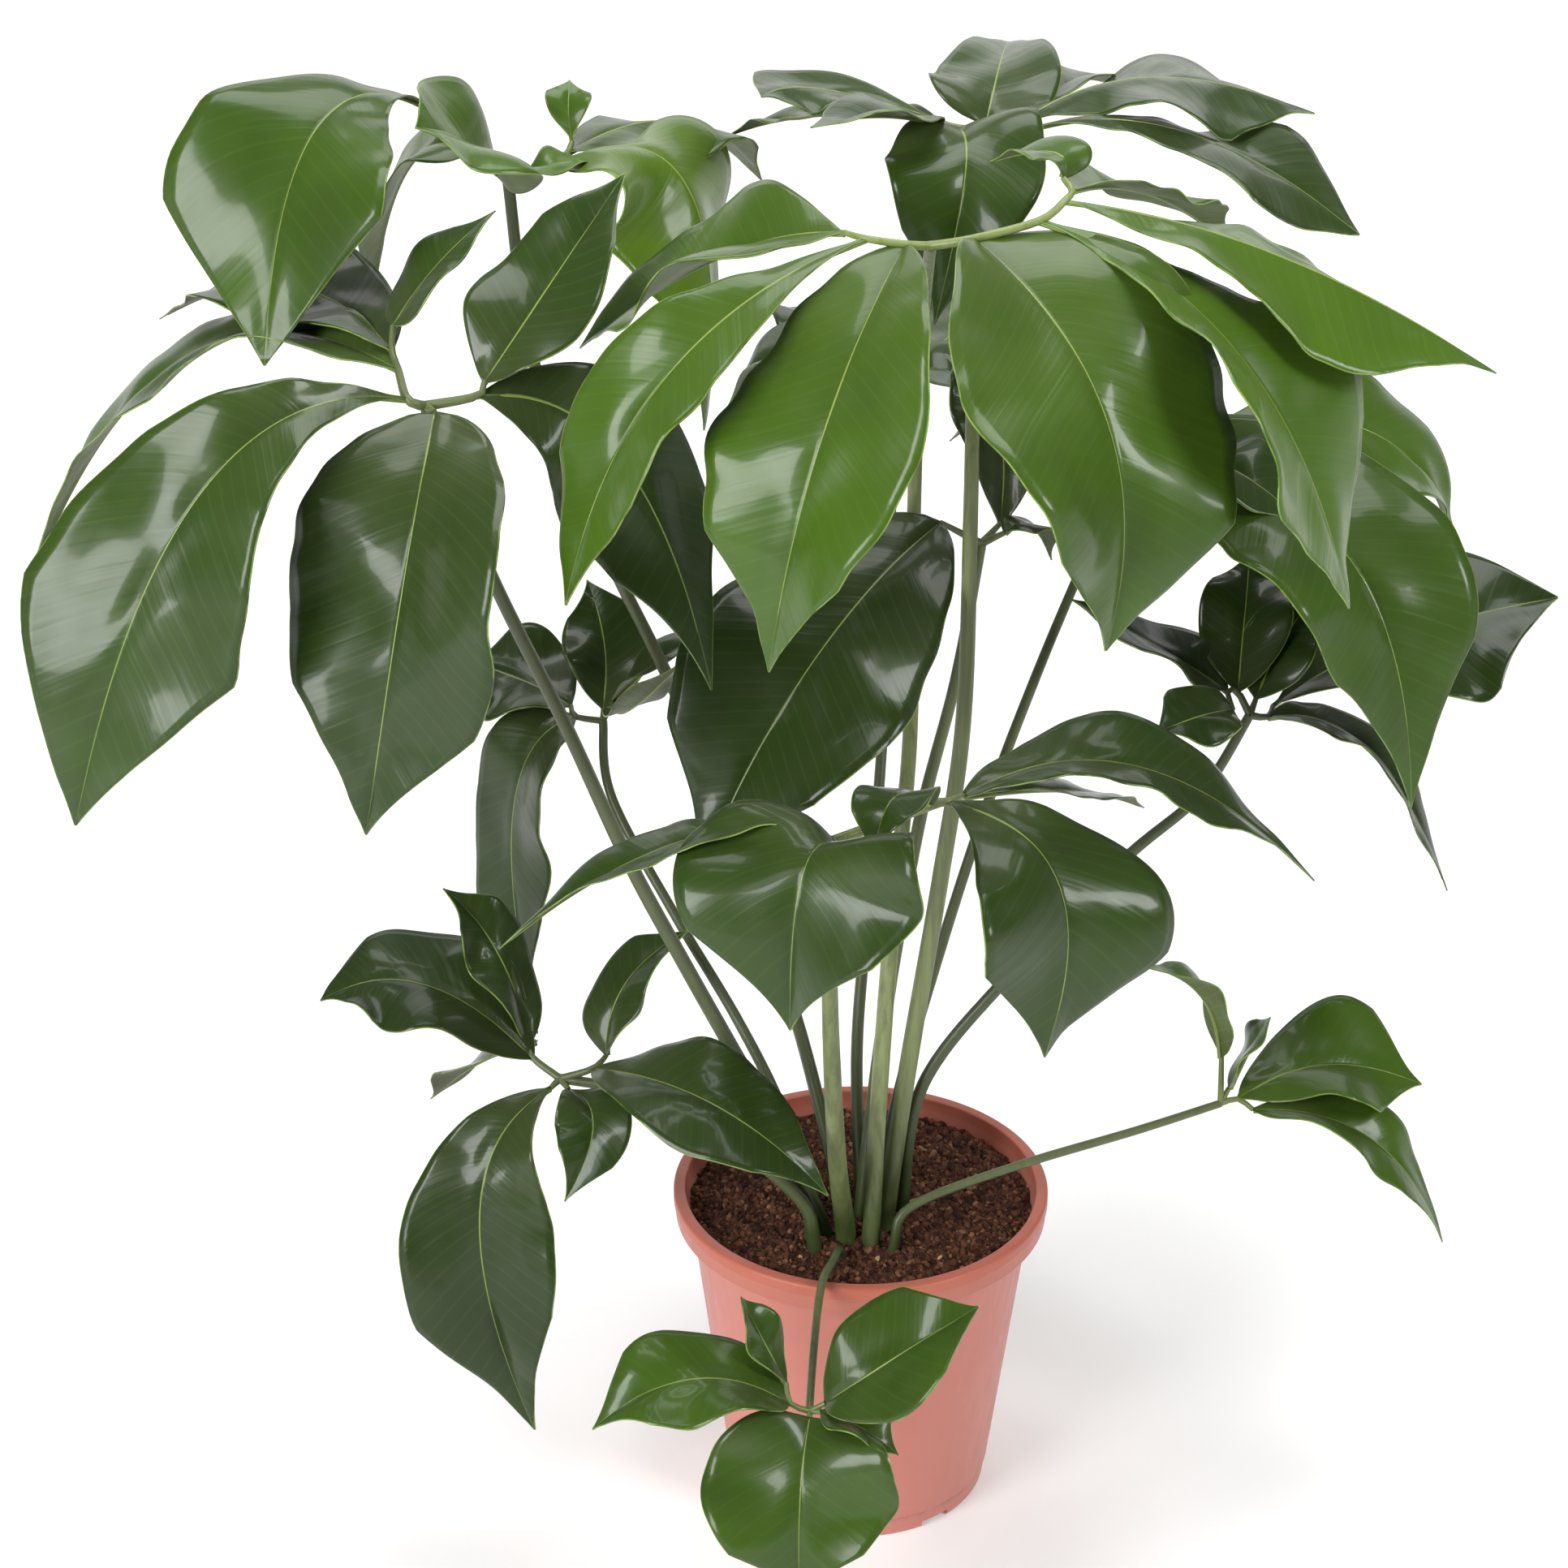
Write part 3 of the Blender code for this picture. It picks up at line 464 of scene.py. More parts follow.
def patched(tree, under, code, share, patches, *span):
    """A colour that takes on a share of another, which comes and goes with the patches."""
    share = maths(tree, "MULTIPLY", share, soft_step(tree, patches, *span))
    return blended(tree, share, under, colour(code))


def grain(tree, scale, detail=3.0, roughness=0.55, stretch=(1.0, 1.0, 1.0)):
    """Noise fixed to the object, from 0 to 1."""
    place = add(tree, "ShaderNodeTexCoord").outputs["Object"]
    place = result(tree, "ShaderNodeMapping", {"Vector": place, "Scale": stretch})
    inputs = {"Vector": place, "Scale": scale, "Detail": detail, "Roughness": roughness}
    return result(tree, "ShaderNodeTexNoise", inputs)


def streaks(tree, scale):
    """Noise that changes from one side vein to the next and stays the same along each."""
    inputs = {"W": attribute(tree, "vein"), "Scale": scale, "Detail": 2.0}
    return result(tree, "ShaderNodeTexNoise", inputs, noise_dimensions="1D")


def attribute(tree, name):
    return add(tree, "ShaderNodeAttribute", attribute_name=name).outputs["Fac"]


def finish(name, **constants):
    """A new material, with its node tree and shader, and the shader's plain values set."""
    material = bpy.data.materials.new(name)
    material.use_nodes = True
    tree = material.node_tree
    shader = tree.nodes["Principled BSDF"]
    for key, value in constants.items():
        shader.inputs[key.replace("_", " ").title().replace("Ior", "IOR")].default_value = value
    return material, tree, shader


def join(tree, shader, **values):
    for key, value in values.items():
        tree.links.new(value, shader.inputs[key.replace("_", " ").title()])


def relief(tree, height, distance, strength, under=None):
    """A normal that follows a height, over another normal where one is given."""
    inputs = {"Height": height, "Distance": distance, "Strength": strength}
    if under:
        inputs["Normal"] = under
    return result(tree, "ShaderNodeBump", inputs)


# Finishes
def leaf_upper_finish():
    """Waxy green, deeper or brighter by leaf, with a pale midrib and margin and faint veins."""
    material, tree, shader = finish("leaf_upper", specular_ior_level=0.2, coat_weight=0.22,
                                    coat_roughness=0.1, sheen_weight=0.06, sheen_roughness=0.4,
                                    sheen_tint=colour("d8cfc0"))
    clouds = grain(tree, 12.0, 2.0)
    flecks = grain(tree, 70.0, 3.0)
    # The leaflet's brightness from the tables: its own tone, and for some leaflets partly painted
    # light
    shade = maths(tree, "SUBTRACT", attribute(tree, "shade"), 0.15)
    tone = maths(tree, "MULTIPLY_ADD", clouds, 0.3, shade)
    green = tinted(tree, colour("141e09"), "263a10", tone, 0.0, 0.4)
    green = tinted(tree, green, "415f11", tone, 0.35, 0.75)
    green = tinted(tree, green, "739326", tone, 0.75, 1.05)
    green = blended(tree, maths(tree, "MULTIPLY", flecks, 0.15), green, colour("3e4424"))
    # Greyer towards the leaflet's base: partly its own duller base and partly a painted sheen of
    # the top light on the flatter base
    grey_base_and_sheen = soft_step(tree, attribute(tree, "along"), 0.0, 0.6, 0.35, 0.0)
    green = patched(tree, green, "4a5034", grey_base_and_sheen, clouds, 0.3, 0.65, 0.3, 1.0)
    veins = maths(tree, "PINGPONG", attribute(tree, "vein"), 0.5)
    green = tinted(tree, green, "7c9a52", veins, 0.0, 0.12, 0.03, 0.0)
    rib = soft_step(tree, attribute(tree, "rib_mm"), 0.1, 0.6, 0.5, 0.0)
    green = patched(tree, green, "768a48", rib, clouds, 0.25, 0.7, 0.25, 1.0)
    margin = soft_step(tree, attribute(tree, "margin_mm"), 0.1, 0.6, 0.6, 0.0)
    green = patched(tree, green, "8ea854", margin, flecks, 0.3, 0.6)
    normal = relief(tree, grain(tree, 30.0, 1.0), 0.002, 0.5)
    normal = relief(tree, streaks(tree, 1.6), 0.0004, 0.55, normal)
    rough = soft_step(tree, flecks, 0.2, 0.8, 0.28, 0.36)
    join(tree, shader, base_color=green, roughness=rough, normal=normal)
    return material


def leaf_under_finish():
    """Matt paler underside with faint veins."""
    material, tree, shader = finish("leaf_under", specular_ior_level=0.35)
    green = tinted(tree, colour("4a5238"), "5f7630", attribute(tree, "shade"), 0.1, 0.9)
    green = blended(tree, grain(tree, 40.0), green, colour("3e462a"))
    veins = maths(tree, "PINGPONG", attribute(tree, "vein"), 0.5)
    green = tinted(tree, green, "76825a", veins, 0.0, 0.12, 0.2, 0.0)
    normal = relief(tree, grain(tree, 420.0, 2.0), 0.0002, 0.5)
    rough = soft_step(tree, grain(tree, 60.0), 0.2, 0.8, 0.48, 0.6)
    join(tree, shader, base_color=green, roughness=rough, normal=normal)
    return material


def stalk_finish():
    """Smooth stalk, pale green or shaded olive by frond, and deep green at the foot."""
    material, tree, shader = finish("stalk", specular_ior_level=0.45)
    body = blended(tree, attribute(tree, "shade"), colour("2a321e"), colour("7c8656"))
    stripes = grain(tree, 240.0, 3.0, stretch=(1.0, 1.0, 0.04))
    body = tinted(tree, body, "46502e", stripes, 0.4, 0.65, 0.0, 0.5)
    blotches = grain(tree, 70.0, 2.0, stretch=(1.0, 1.0, 0.3))
    body = tinted(tree, body, "4d4230", blotches, 0.55, 0.8, 0.0, 0.35)
    body = tinted(tree, body, "26360f", attribute(tree, "foot"), 0.0, 1.0, 0.0, 0.7)
    body = blended(tree, attribute(tree, "pale"), body, colour("76883c"))
    normal = relief(tree, stripes, 0.0003, 0.5)
    rough = soft_step(tree, grain(tree, 90.0), 0.2, 0.8, 0.34, 0.48)
    join(tree, shader, base_color=body, roughness=rough, normal=normal)
    return material


def pot_finish():
    """Satin salmon plastic, richer at the lip, with fine turning marks and peat dust inside."""
    material, tree, shader = finish("pot_plastic", specular_ior_level=0.4, sheen_weight=0.12,
                                    sheen_roughness=0.45, sheen_tint=colour("d9d2f2"))
    height = upward(tree, add(tree, "ShaderNodeTexCoord").outputs["Object"])
    lip_low = (POT_HEIGHT - LIP_DROP) * MM
    band_top = (POT_HEIGHT - BEAD_HEIGHT) * MM
    body = tinted(tree, colour("c0796a"), "b66d5f", height, 0.0, lip_low)
    body = tinted(tree, body, "ac6453", height, lip_low - 0.002, lip_low + 0.001)
    body = tinted(tree, body, "a95a46", height, band_top - 0.001, band_top + 0.002)
    body = tinted(tree, body, "b96d5f", grain(tree, 20.0, 3.0), 0.35, 0.75, 0.0, 0.2)
    scuffs = grain(tree, 140.0, 4.0, 0.7, stretch=(1.0, 1.0, 0.2))
    body = tinted(tree, body, "d8a294", scuffs, 0.62, 0.8, 0.0, 0.2)
    dust = maths(tree, "MULTIPLY", attribute(tree, "inside"), grain(tree, 60.0, 4.0, 0.7))
    body = tinted(tree, body, "6a4030", dust, 0.3, 0.7, 0.0, 0.5)
    normal = relief(tree, grain(tree, 480.0, 2.0), 0.00015, 0.3)
    rings = grain(tree, 900.0, 1.0, stretch=(0.02, 0.02, 1.0))
    normal = relief(tree, rings, 0.0001, 0.25, normal)
    rough = soft_step(tree, scuffs, 0.3, 0.8, 0.4, 0.55)
    join(tree, shader, base_color=body, roughness=rough, normal=normal)
    return material


def soil_finish():
    """Dark reddish-brown peat, each crumb with its own tint."""
    material, tree, shader = finish("peat", specular_ior_level=0.2)
    tint = attribute(tree, "tint")
    brown = tinted(tree, colour("29160f"), "633d2c", tint, 0.0, 0.7)
    brown = tinted(tree, brown, "8c644a", tint, 0.75, 1.0)
    brown = tinted(tree, brown, "3a231a", grain(tree, 420.0, 4.0), 0.35, 0.8, 0.0, 0.8)
    normal = relief(tree, grain(tree, 900.0, 4.0, 0.7), 0.0012, 0.8)
    rough = soft_step(tree, grain(tree, 300.0), 0.2, 0.8, 0.82, 0.98)
    join(tree, shader, base_color=brown, roughness=rough, normal=normal)
    return material


def chip_finish():
    """Pale weathered wood."""
    material, tree, shader = finish("wood_chip", specular_ior_level=0.3)
    fibres = grain(tree, 300.0, 3.0, stretch=(0.15, 1.0, 1.0))
    wood = blended(tree, fibres, colour("8a6c48"), colour("b89c70"))
    rough = soft_step(tree, fibres, 0.2, 0.8, 0.7, 0.9)
    join(tree, shader, base_color=wood, roughness=rough, normal=relief(tree, fibres, 0.0006, 0.8))
    return material


# Meshes
def linked(name, data):
    item = bpy.data.objects.new(name, data)
    bpy.context.scene.collection.objects.link(item)
    return item


def settled(item):
    """The object as its modifiers make it, as a plain mesh with no modifiers left."""
    graph = bpy.context.evaluated_depsgraph_get()
    mesh = bpy.data.meshes.new_from_object(item.evaluated_get(graph), depsgraph=graph)
    item.modifiers.clear()
    item.data = mesh
    return item


def point_values(mesh, **values):
    """Stores lists of one number a point as named attributes."""
    for name, numbers in values.items():
        mesh.attributes.new(name, "FLOAT", "POINT").data.foreach_set("value", numbers)


def carried(item, slot, *nodes):
    """Makes a finished piece part of the object, in place of CAD nodes where some are named."""
    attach(item, ROOT)
    if nodes:
        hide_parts(*nodes)


# Geometry node trees
def geometry_tree(name, **inputs):
    """A tree with a geometry in and out, and an input for each named size, seed or finish."""
    tree = bpy.data.node_groups.new(name, "GeometryNodeTree")
    tree.is_modifier = True
    tree.interface.new_socket("Geometry", in_out="INPUT", socket_type="NodeSocketGeometry")
    for key, kind in inputs.items():
        title = key.replace("_", " ").title()
        tree.interface.new_socket(title, in_out="INPUT", socket_type="NodeSocket" + kind)
    tree.interface.new_socket("Geometry", in_out="OUTPUT", socket_type="NodeSocketGeometry")
    return tree, tree.nodes.new("NodeGroupInput").outputs


def tree_end(tree, geometry, material):
    """Ends a tree: real geometry with smooth faces and its finish."""
    real = result(tree, "GeometryNodeRealizeInstances", {0: geometry})
    smooth = result(tree, "GeometryNodeSetShadeSmooth", {0: real})
    inputs = {"Geometry": smooth, "Material": material}
    add(tree, "NodeGroupOutput", {0: result(tree, "GeometryNodeSetMaterial", inputs)})


def circle(tree, sides):
    inputs = {"Resolution": sides, "Radius": 1.0}
    return result(tree, "GeometryNodeCurvePrimitiveCircle", inputs)


def swept_end(tree, line, section, thickness, material):
    """Ends a tree with a section swept along a line and closed at its ends."""
    inputs = {"Curve": line, "Profile Curve": section, "Scale": thickness, "Fill Caps": True}
    tree_end(tree, result(tree, "GeometryNodeCurveToMesh", inputs), material)


def scaled(tree, vector, scale):
    inputs = {0: vector, "Scale": scale}
    return result(tree, "ShaderNodeVectorMath", inputs, operation="SCALE")


def drawn_number(tree, seed, least=0.0):
    """A random number for each piece, from least to 1."""
    inputs = {2: least, 3: 1.0, "Seed": seed}
    return add(tree, "FunctionNodeRandomValue", inputs, data_type="FLOAT").outputs[1]


def drawn_vector(tree, seed, least, most):
    """A random vector for each piece, from least to most."""
    inputs = {0: least, 1: most, "Seed": seed}
    return result(tree, "FunctionNodeRandomValue", inputs, data_type="FLOAT_VECTOR")


def strewn(tree, given, piece, most_turn, size, tint_seed):
    """Sets copies of a piece on the faces that look up, each with its own turn, size and tint."""
    up = upward(tree, result(tree, "GeometryNodeInputNormal"))
    inputs = {"Mesh": given["Geometry"], "Density": given["Density"], "Seed": given["Seed"],
              "Selection": maths(tree, "GREATER_THAN", up, LEAST_UPWARD)}
    spots = add(tree, "GeometryNodeDistributePointsOnFaces", inputs).outputs["Points"]
    turn = drawn_vector(tree, given["Seed"], (0.0, 0.0, 0.0), most_turn)
    turn = result(tree, "FunctionNodeEulerToRotation", {0: turn})
    inputs = {"Points": spots, "Instance": piece, "Rotation": turn, "Scale": size}
    pieces = result(tree, "GeometryNodeInstanceOnPoints", inputs)
    inputs = {"Geometry": pieces, "Name": "tint", "Value": drawn_number(tree, tint_seed)}
    kinds = {"data_type": "FLOAT", "domain": "INSTANCE"}
    pieces = result(tree, "GeometryNodeStoreNamedAttribute", inputs, **kinds)
    return result(tree, "GeometryNodeRealizeInstances", {0: pieces})


def unsettled(tree, geometry, scale, detail, middle, reach):
    """Moves each point by noise, which makes a ball lumpy and a line bent."""
    drift = add(tree, "ShaderNodeTexNoise", {"Scale": scale, "Detail": detail}).outputs["Color"]
    drift = result(tree, "ShaderNodeVectorMath", {0: drift, 1: middle}, operation="SUBTRACT")
    inputs = {"Geometry": geometry, "Offset": scaled(tree, drift, reach)}
    return result(tree, "GeometryNodeSetPosition", inputs)


def grown(item, tree, **values):
    """Runs a tree on an object with the given inputs and keeps the result as its plain mesh."""
    step = item.modifiers.new(tree.name, "NODES")
    step.node_group = tree
    for socket in tree.interface.items_tree:
        key = socket.name.lower().replace(" ", "_")
        if socket.in_out == "INPUT" and key in values:
            step[socket.identifier] = values[key]
    item.update_tag()
    return settled(item)


def stem_tree():
    """Sweeps a grooved round section along each line of a mesh, as thick as its points say."""
    tree, given = geometry_tree("swept_stems", step="Float", sides="Int", grooves="Float",
                                groove_depth="Float", finish="Material")
    line = result(tree, "GeometryNodeMeshToCurve", {0: given["Geometry"]})
    line = result(tree, "GeometryNodeCurveSplineType", {0: line}, spline_type="CATMULL_ROM")
    inputs = {"Curve": line, "Length": given["Step"]}
    line = result(tree, "GeometryNodeResampleCurve", inputs, mode="LENGTH")
    turn = add(tree, "GeometryNodeSplineParameter").outputs["Factor"]
    turn = maths(tree, "MULTIPLY", maths(tree, "MULTIPLY", turn, math.tau), given["Grooves"])
    wave = maths(tree, "MULTIPLY_ADD", maths(tree, "COSINE", turn), given["Groove Depth"], 1.0)
    place = scaled(tree, result(tree, "GeometryNodeInputPosition"), wave)
    inputs = {"Geometry": circle(tree, given["Sides"]), "Position": place}
    ring = result(tree, "GeometryNodeSetPosition", inputs)
    inputs = {"Name": "thickness"}
    thick = result(tree, "GeometryNodeInputNamedAttribute", inputs, data_type="FLOAT")
    swept_end(tree, line, ring, thick, given["Finish"])
    return tree


def crumb_tree():
    """Scatters lumpy crumbs over the faces that look up, most of them small."""
    tree, given = geometry_tree("peat_crumbs", density="Float", smallest="Float", largest="Float",
                                roughening="Float", seed="Int", finish="Material")
    ball = result(tree, "GeometryNodeMeshIcoSphere", {"Radius": 1.0, "Subdivisions": 1})
    small = maths(tree, "POWER", drawn_number(tree, given["Seed"]), CRUMB_SIZE_SKEW)
    reach = maths(tree, "SUBTRACT", given["Largest"], given["Smallest"])
    size = maths(tree, "MULTIPLY_ADD", small, reach, given["Smallest"])
    form = scaled(tree, drawn_vector(tree, given["Seed"], CRUMB_LEAST, CRUMB_MOST), size)
    crumbs = strewn(tree, given, ball, CRUMB_TURN, form, CRUMB_TINT_SEED)
    middle = (0.5, 0.5, 0.5)
    crumbs = unsettled(tree, crumbs, CRUMB_LUMP_SCALE, 1.0, middle, given["Roughening"])
    tree_end(tree, crumbs, given["Finish"])
    return tree


def fibre_tree():
    """Strews short bent fibres over the faces that look up."""
    tree, given = geometry_tree("peat_fibres", density="Float", length="Float", thickness="Float",
                                bend="Float", seed="Int", finish="Material")
    inputs = {"Start": (-0.5, 0.0, 0.0), "End": (0.5, 0.0, 0.0)}
    line = result(tree, "GeometryNodeCurvePrimitiveLine", inputs)
    line = result(tree, "GeometryNodeResampleCurve", {"Curve": line, "Count": FIBRE_POINTS})
    size = drawn_number(tree, given["Seed"], FIBRE_SHORTEST)
    size = maths(tree, "MULTIPLY", size, given["Length"])
    lines = strewn(tree, given, line, FIBRE_TURN, size, FIBRE_TINT_SEED)
    lines = unsettled(tree, lines, FIBRE_SWAY_SCALE, 0.0, (0.5, 0.5, 0.45), given["Bend"])
    swept_end(tree, lines, circle(tree, FIBRE_SIDES), given["Thickness"], given["Finish"])
    return tree


# Pot
def wall_radius(height):
    """The pot's outer radius at a height below its neck."""
    return FOOT_RADIUS + (NECK_RADIUS - FOOT_RADIUS) * height / NECK_HEIGHT


def inner_radius(height):
    """The radius of the pot's inner wall, which flares out under the lip."""
    neck = NECK_RADIUS - POT_WALL
    low, high = NECK_HEIGHT - EDGE_ROUND, POT_HEIGHT - LIP_INNER_DROP
    if height <= low:
        return wall_radius(height) - POT_WALL
    return neck + (LIP_INNER_RADIUS - neck) * min((height - low) / (high - low), 1.0)


def arc(centre, radius, start, end, steps):
    """Points (radius, height) round part of a circle, for a rounded edge of a profile."""
    points = []
    for i in range(steps + 1):
        turn = math.radians(start + (end - start) * i / steps)
        points.append((centre[0] + radius * math.cos(turn), centre[1] + radius * math.sin(turn)))
    return points


def pot_profile():
    """The pot's section: floor, inner wall, lip with a bead and a band, outer wall and foot."""
    lip_low = POT_HEIGHT - LIP_DROP
    bead_low = POT_HEIGHT - BEAD_HEIGHT
    band = LIP_RADIUS - BAND_STEP
    hollow = LIP_INNER_RADIUS + LIP_WALL
    fillet = FLOOR_FILLET
    foot = FOOT_RADIUS - FOOT_BAND_STEP
    foot_band = wall_radius(FOOT_BAND_HEIGHT)
    foot_step = FOOT_BAND_HEIGHT - EDGE_ROUND
    return [
        (0.0, FLOOR_TOP),
        *arc((wall_radius(FLOOR_TOP) - POT_WALL - fillet, FLOOR_TOP + fillet), fillet, -90, -8, 5),
        (inner_radius(NECK_HEIGHT - EDGE_ROUND), NECK_HEIGHT - EDGE_ROUND),
        (LIP_INNER_RADIUS, POT_HEIGHT - LIP_INNER_DROP),
        *arc((LIP_INNER_RADIUS + EDGE_ROUND, POT_HEIGHT - EDGE_ROUND), EDGE_ROUND, 180, 90, 5),
        *arc((LIP_RADIUS - LIP_ROUND, POT_HEIGHT - LIP_ROUND), LIP_ROUND, 90, 0, 7),
        *arc((LIP_RADIUS - EDGE_ROUND, bead_low + EDGE_ROUND), EDGE_ROUND, 0, -80, 5),
        (band, bead_low - BAND_STEP),
        *arc((band - LIP_WALL / 2, lip_low + LIP_WALL / 2), LIP_WALL / 2, 0, -180, 8),
        (band - LIP_WALL, bead_low + LIP_ROUND),
        (hollow, bead_low + LIP_ROUND),
        (NECK_RADIUS, NECK_HEIGHT),
        *arc((foot_band - EDGE_ROUND, FOOT_BAND_HEIGHT + EDGE_ROUND), EDGE_ROUND, 0, -70, 4),
        (wall_radius(foot_step) - FOOT_BAND_STEP, foot_step),
        *arc((foot - EDGE_ROUND, EDGE_ROUND), EDGE_ROUND, 0, -90, 4),
        *arc((RECESS_OUTER_RADIUS + EDGE_ROUND, EDGE_ROUND), EDGE_ROUND, -90, -180, 4),
        (RECESS_OUTER_RADIUS - EDGE_ROUND, RECESS_DEPTH),
        (RECESS_INNER_RADIUS + EDGE_ROUND, RECESS_DEPTH),
        (RECESS_INNER_RADIUS, 0.0),
        (0.0, 0.0),
    ]


def turned(name, profile, sides):
    """A profile of (radius, height) points turned round the Z axis into a closed body."""
    mesh = bpy.data.meshes.new(name)
    points = [(radius * MM, 0.0, height * MM) for radius, height in profile]
    mesh.from_pydata(points, [(i, i + 1) for i in range(len(points) - 1)], [])
    item = linked(name, mesh)
    screw = item.modifiers.new("Turn", "SCREW")
    screw.steps = sides
    screw.render_steps = sides
    screw.use_merge_vertices = True
    screw.merge_threshold = 0.00001
    return settled(item)


def ring_cutter(kind, reach, angle, **sizes):
    """A cutting body set at an angle round the pot's foot, a reach from its middle."""
    kind(location=(reach * MM * math.cos(angle), reach * MM * math.sin(angle), 0.0),
         rotation=(0.0, 0.0, angle), **sizes)
    return bpy.context.active_object


def dusty(place):
    """1 on the pot's inner wall, where peat dust clings, and 0 elsewhere."""
    edge = min(LIP_INNER_RADIUS + DUST_MARGIN, wall_radius(place.z / MM) - DUST_MARGIN) * MM
    high = (POT_HEIGHT - LIP_INNER_DROP) * MM
    inside = math.hypot(place.x, place.y) < edge and FLOOR_TOP * MM < place.z < high
    return 1.0 if inside else 0.0


def build_pot():
    pot = turned("pot_shell", pot_profile(), POT_SIDES)
    cuts = bpy.data.collections.new("pot_cutters")
    bpy.context.scene.collection.children.link(cuts)
    made = []
    for i in range(DRAIN_COUNT):
        made.append(ring_cutter(
            bpy.ops.mesh.primitive_cylinder_add, DRAIN_RING_RADIUS,
            math.tau * (i + 0.5) / DRAIN_COUNT, vertices=DRAIN_SIDES, radius=DRAIN_RADIUS * MM,
            depth=4 * FLOOR_TOP * MM))
    for i in range(NOTCH_COUNT):
        made.append(ring_cutter(
            bpy.ops.mesh.primitive_cube_add, (FOOT_RADIUS + RECESS_OUTER_RADIUS) / 2,
            math.radians(NOTCH_FIRST_ANGLE + 360.0 * i / NOTCH_COUNT), size=1.0,
            scale=(NOTCH_REACH * MM, NOTCH_WIDTH * MM, 2 * NOTCH_HEIGHT * MM)))
    for item in made:
        for owner in list(item.users_collection):
            owner.objects.unlink(item)
        cuts.objects.link(item)
    cut = pot.modifiers.new("Openings", "BOOLEAN")
    cut.operation = "DIFFERENCE"
    cut.operand_type = "COLLECTION"
    cut.collection = cuts
    settled(pot)
    for item in made:
        bpy.data.objects.remove(item, do_unlink=True)
    bpy.data.collections.remove(cuts)
    mesh = pot.data
    mesh.shade_smooth()
    mesh.set_sharp_from_angle(angle=math.radians(POT_SHARP_ANGLE))
    point_values(mesh, inside=[dusty(point.co) for point in mesh.vertices])
    mesh.materials.clear()
    mesh.materials.append(pot_finish())
    carried(pot, "pot", "pot")


# Soil
def soil_height(x, y):
    """The soil's height in millimetres at a place, with its mound, lumps and fine unevenness."""
    away = min(math.hypot(x, y) / inner_radius(SOIL_EDGE_HEIGHT), 1.0)
    long_lump = math.sin(LONG_LUMPS[0] * x + LUMP_SHIFT) * math.cos(LONG_LUMPS[1] * y)
    short_lump = math.sin(SHORT_LUMPS[0] * x + SHORT_LUMPS[1] * y)
    lumps = SOIL_LUMP * (long_lump + SHORT_LUMP_SHARE * short_lump) * (1 - away ** 8)
    place = Vector((x * FINE_LUMP_SCALE, y * FINE_LUMP_SCALE, FINE_LUMP_SLICE))
    fine = FINE_LUMP * (noise.fractal(place, 0.8, 2.0, 4) - 0.5)
    return SOIL_EDGE_HEIGHT + SOIL_MOUND * (1 - away ** 2) + lumps + fine


def build_soil(material):
    """A plug with a finely uneven top that fills the pot."""
    edge = inner_radius(SOIL_EDGE_HEIGHT) - SOIL_GAP
    neck = NECK_HEIGHT - EDGE_ROUND
    low = FLOOR_TOP + SOIL_GAP
    profile = [(edge * i / SOIL_RINGS, SOIL_EDGE_HEIGHT) for i in range(SOIL_RINGS + 1)]
    profile += [
        (inner_radius(neck) - SOIL_GAP, neck),
        (inner_radius(low + FLOOR_FILLET) - SOIL_GAP, low + FLOOR_FILLET),
        (inner_radius(low) - SOIL_GAP - FLOOR_FILLET, low),
        (0.0, low),
    ]
    soil = turned("soil_bed", profile, SOIL_SIDES)
    mesh = soil.data
    for point in mesh.vertices:
        if point.co.z > (SOIL_EDGE_HEIGHT - EDGE_ROUND) * MM:
            point.co.z = soil_height(point.co.x / MM, point.co.y / MM) * MM
    mesh.shade_smooth()
    mesh.set_sharp_from_angle(angle=math.radians(SOIL_SHARP_ANGLE))
    tints = [noise.noise(point.co * SOIL_TINT_SCALE) for point in mesh.vertices]
    point_values(mesh, tint=[SOIL_TINT + SOIL_TINT_SPREAD * tint for tint in tints])
    mesh.materials.clear()
    mesh.materials.append(material)
    return soil


def scattered(name, soil, tree, **values):
    """What lies on the soil, grown from a copy of its top."""
    return grown(linked(name, soil.data.copy()), tree, **values)


def build_chips(material):
    """A few flat chips of wood that lie on the peat."""
    draw = random.Random(CHIP_SEED)
    work = bmesh.new()
    for x, y, length, width, turn in CHIPS:
        made = bmesh.ops.create_icosphere(work, subdivisions=2, radius=1.0)["verts"]
        for point in made:
            jag = 1.0 + draw.uniform(-CHIP_JAG, CHIP_JAG)
            u, v = point.co.x * length / 2 * jag, point.co.y * width / 2 * jag
            high = soil_height(x, y) + CHIP_LIFT + point.co.z * CHIP_HALF_THICKNESS + CHIP_SLOPE * u
            point.co = Vector((x + u * math.cos(turn) - v * math.sin(turn),
                               y + u * math.sin(turn) + v * math.cos(turn), high)) * MM
    mesh = bpy.data.meshes.new("wood_chips")
    work.to_mesh(mesh)
    work.free()
    mesh.materials.append(material)
    return linked("wood_chips", mesh)


def build_ground():
    """The soil, and what lies on it."""
    peat = soil_finish()
    bed = build_soil(peat)
    crumbs = scattered("soil_crumbs", bed, crumb_tree(), density=300000.0, smallest=0.0005,
                       largest=0.0027, roughening=0.0014, seed=21, finish=peat)
    fibres = scattered("soil_fibres", bed, fibre_tree(), density=26000.0, length=0.012,
                       thickness=0.0002, bend=0.006, seed=22, finish=peat)
    chips = build_chips(chip_finish())
    carried(bed, "soil", "soil")
    for piece in (crumbs, fibres, chips):
        carried(piece, "soil")


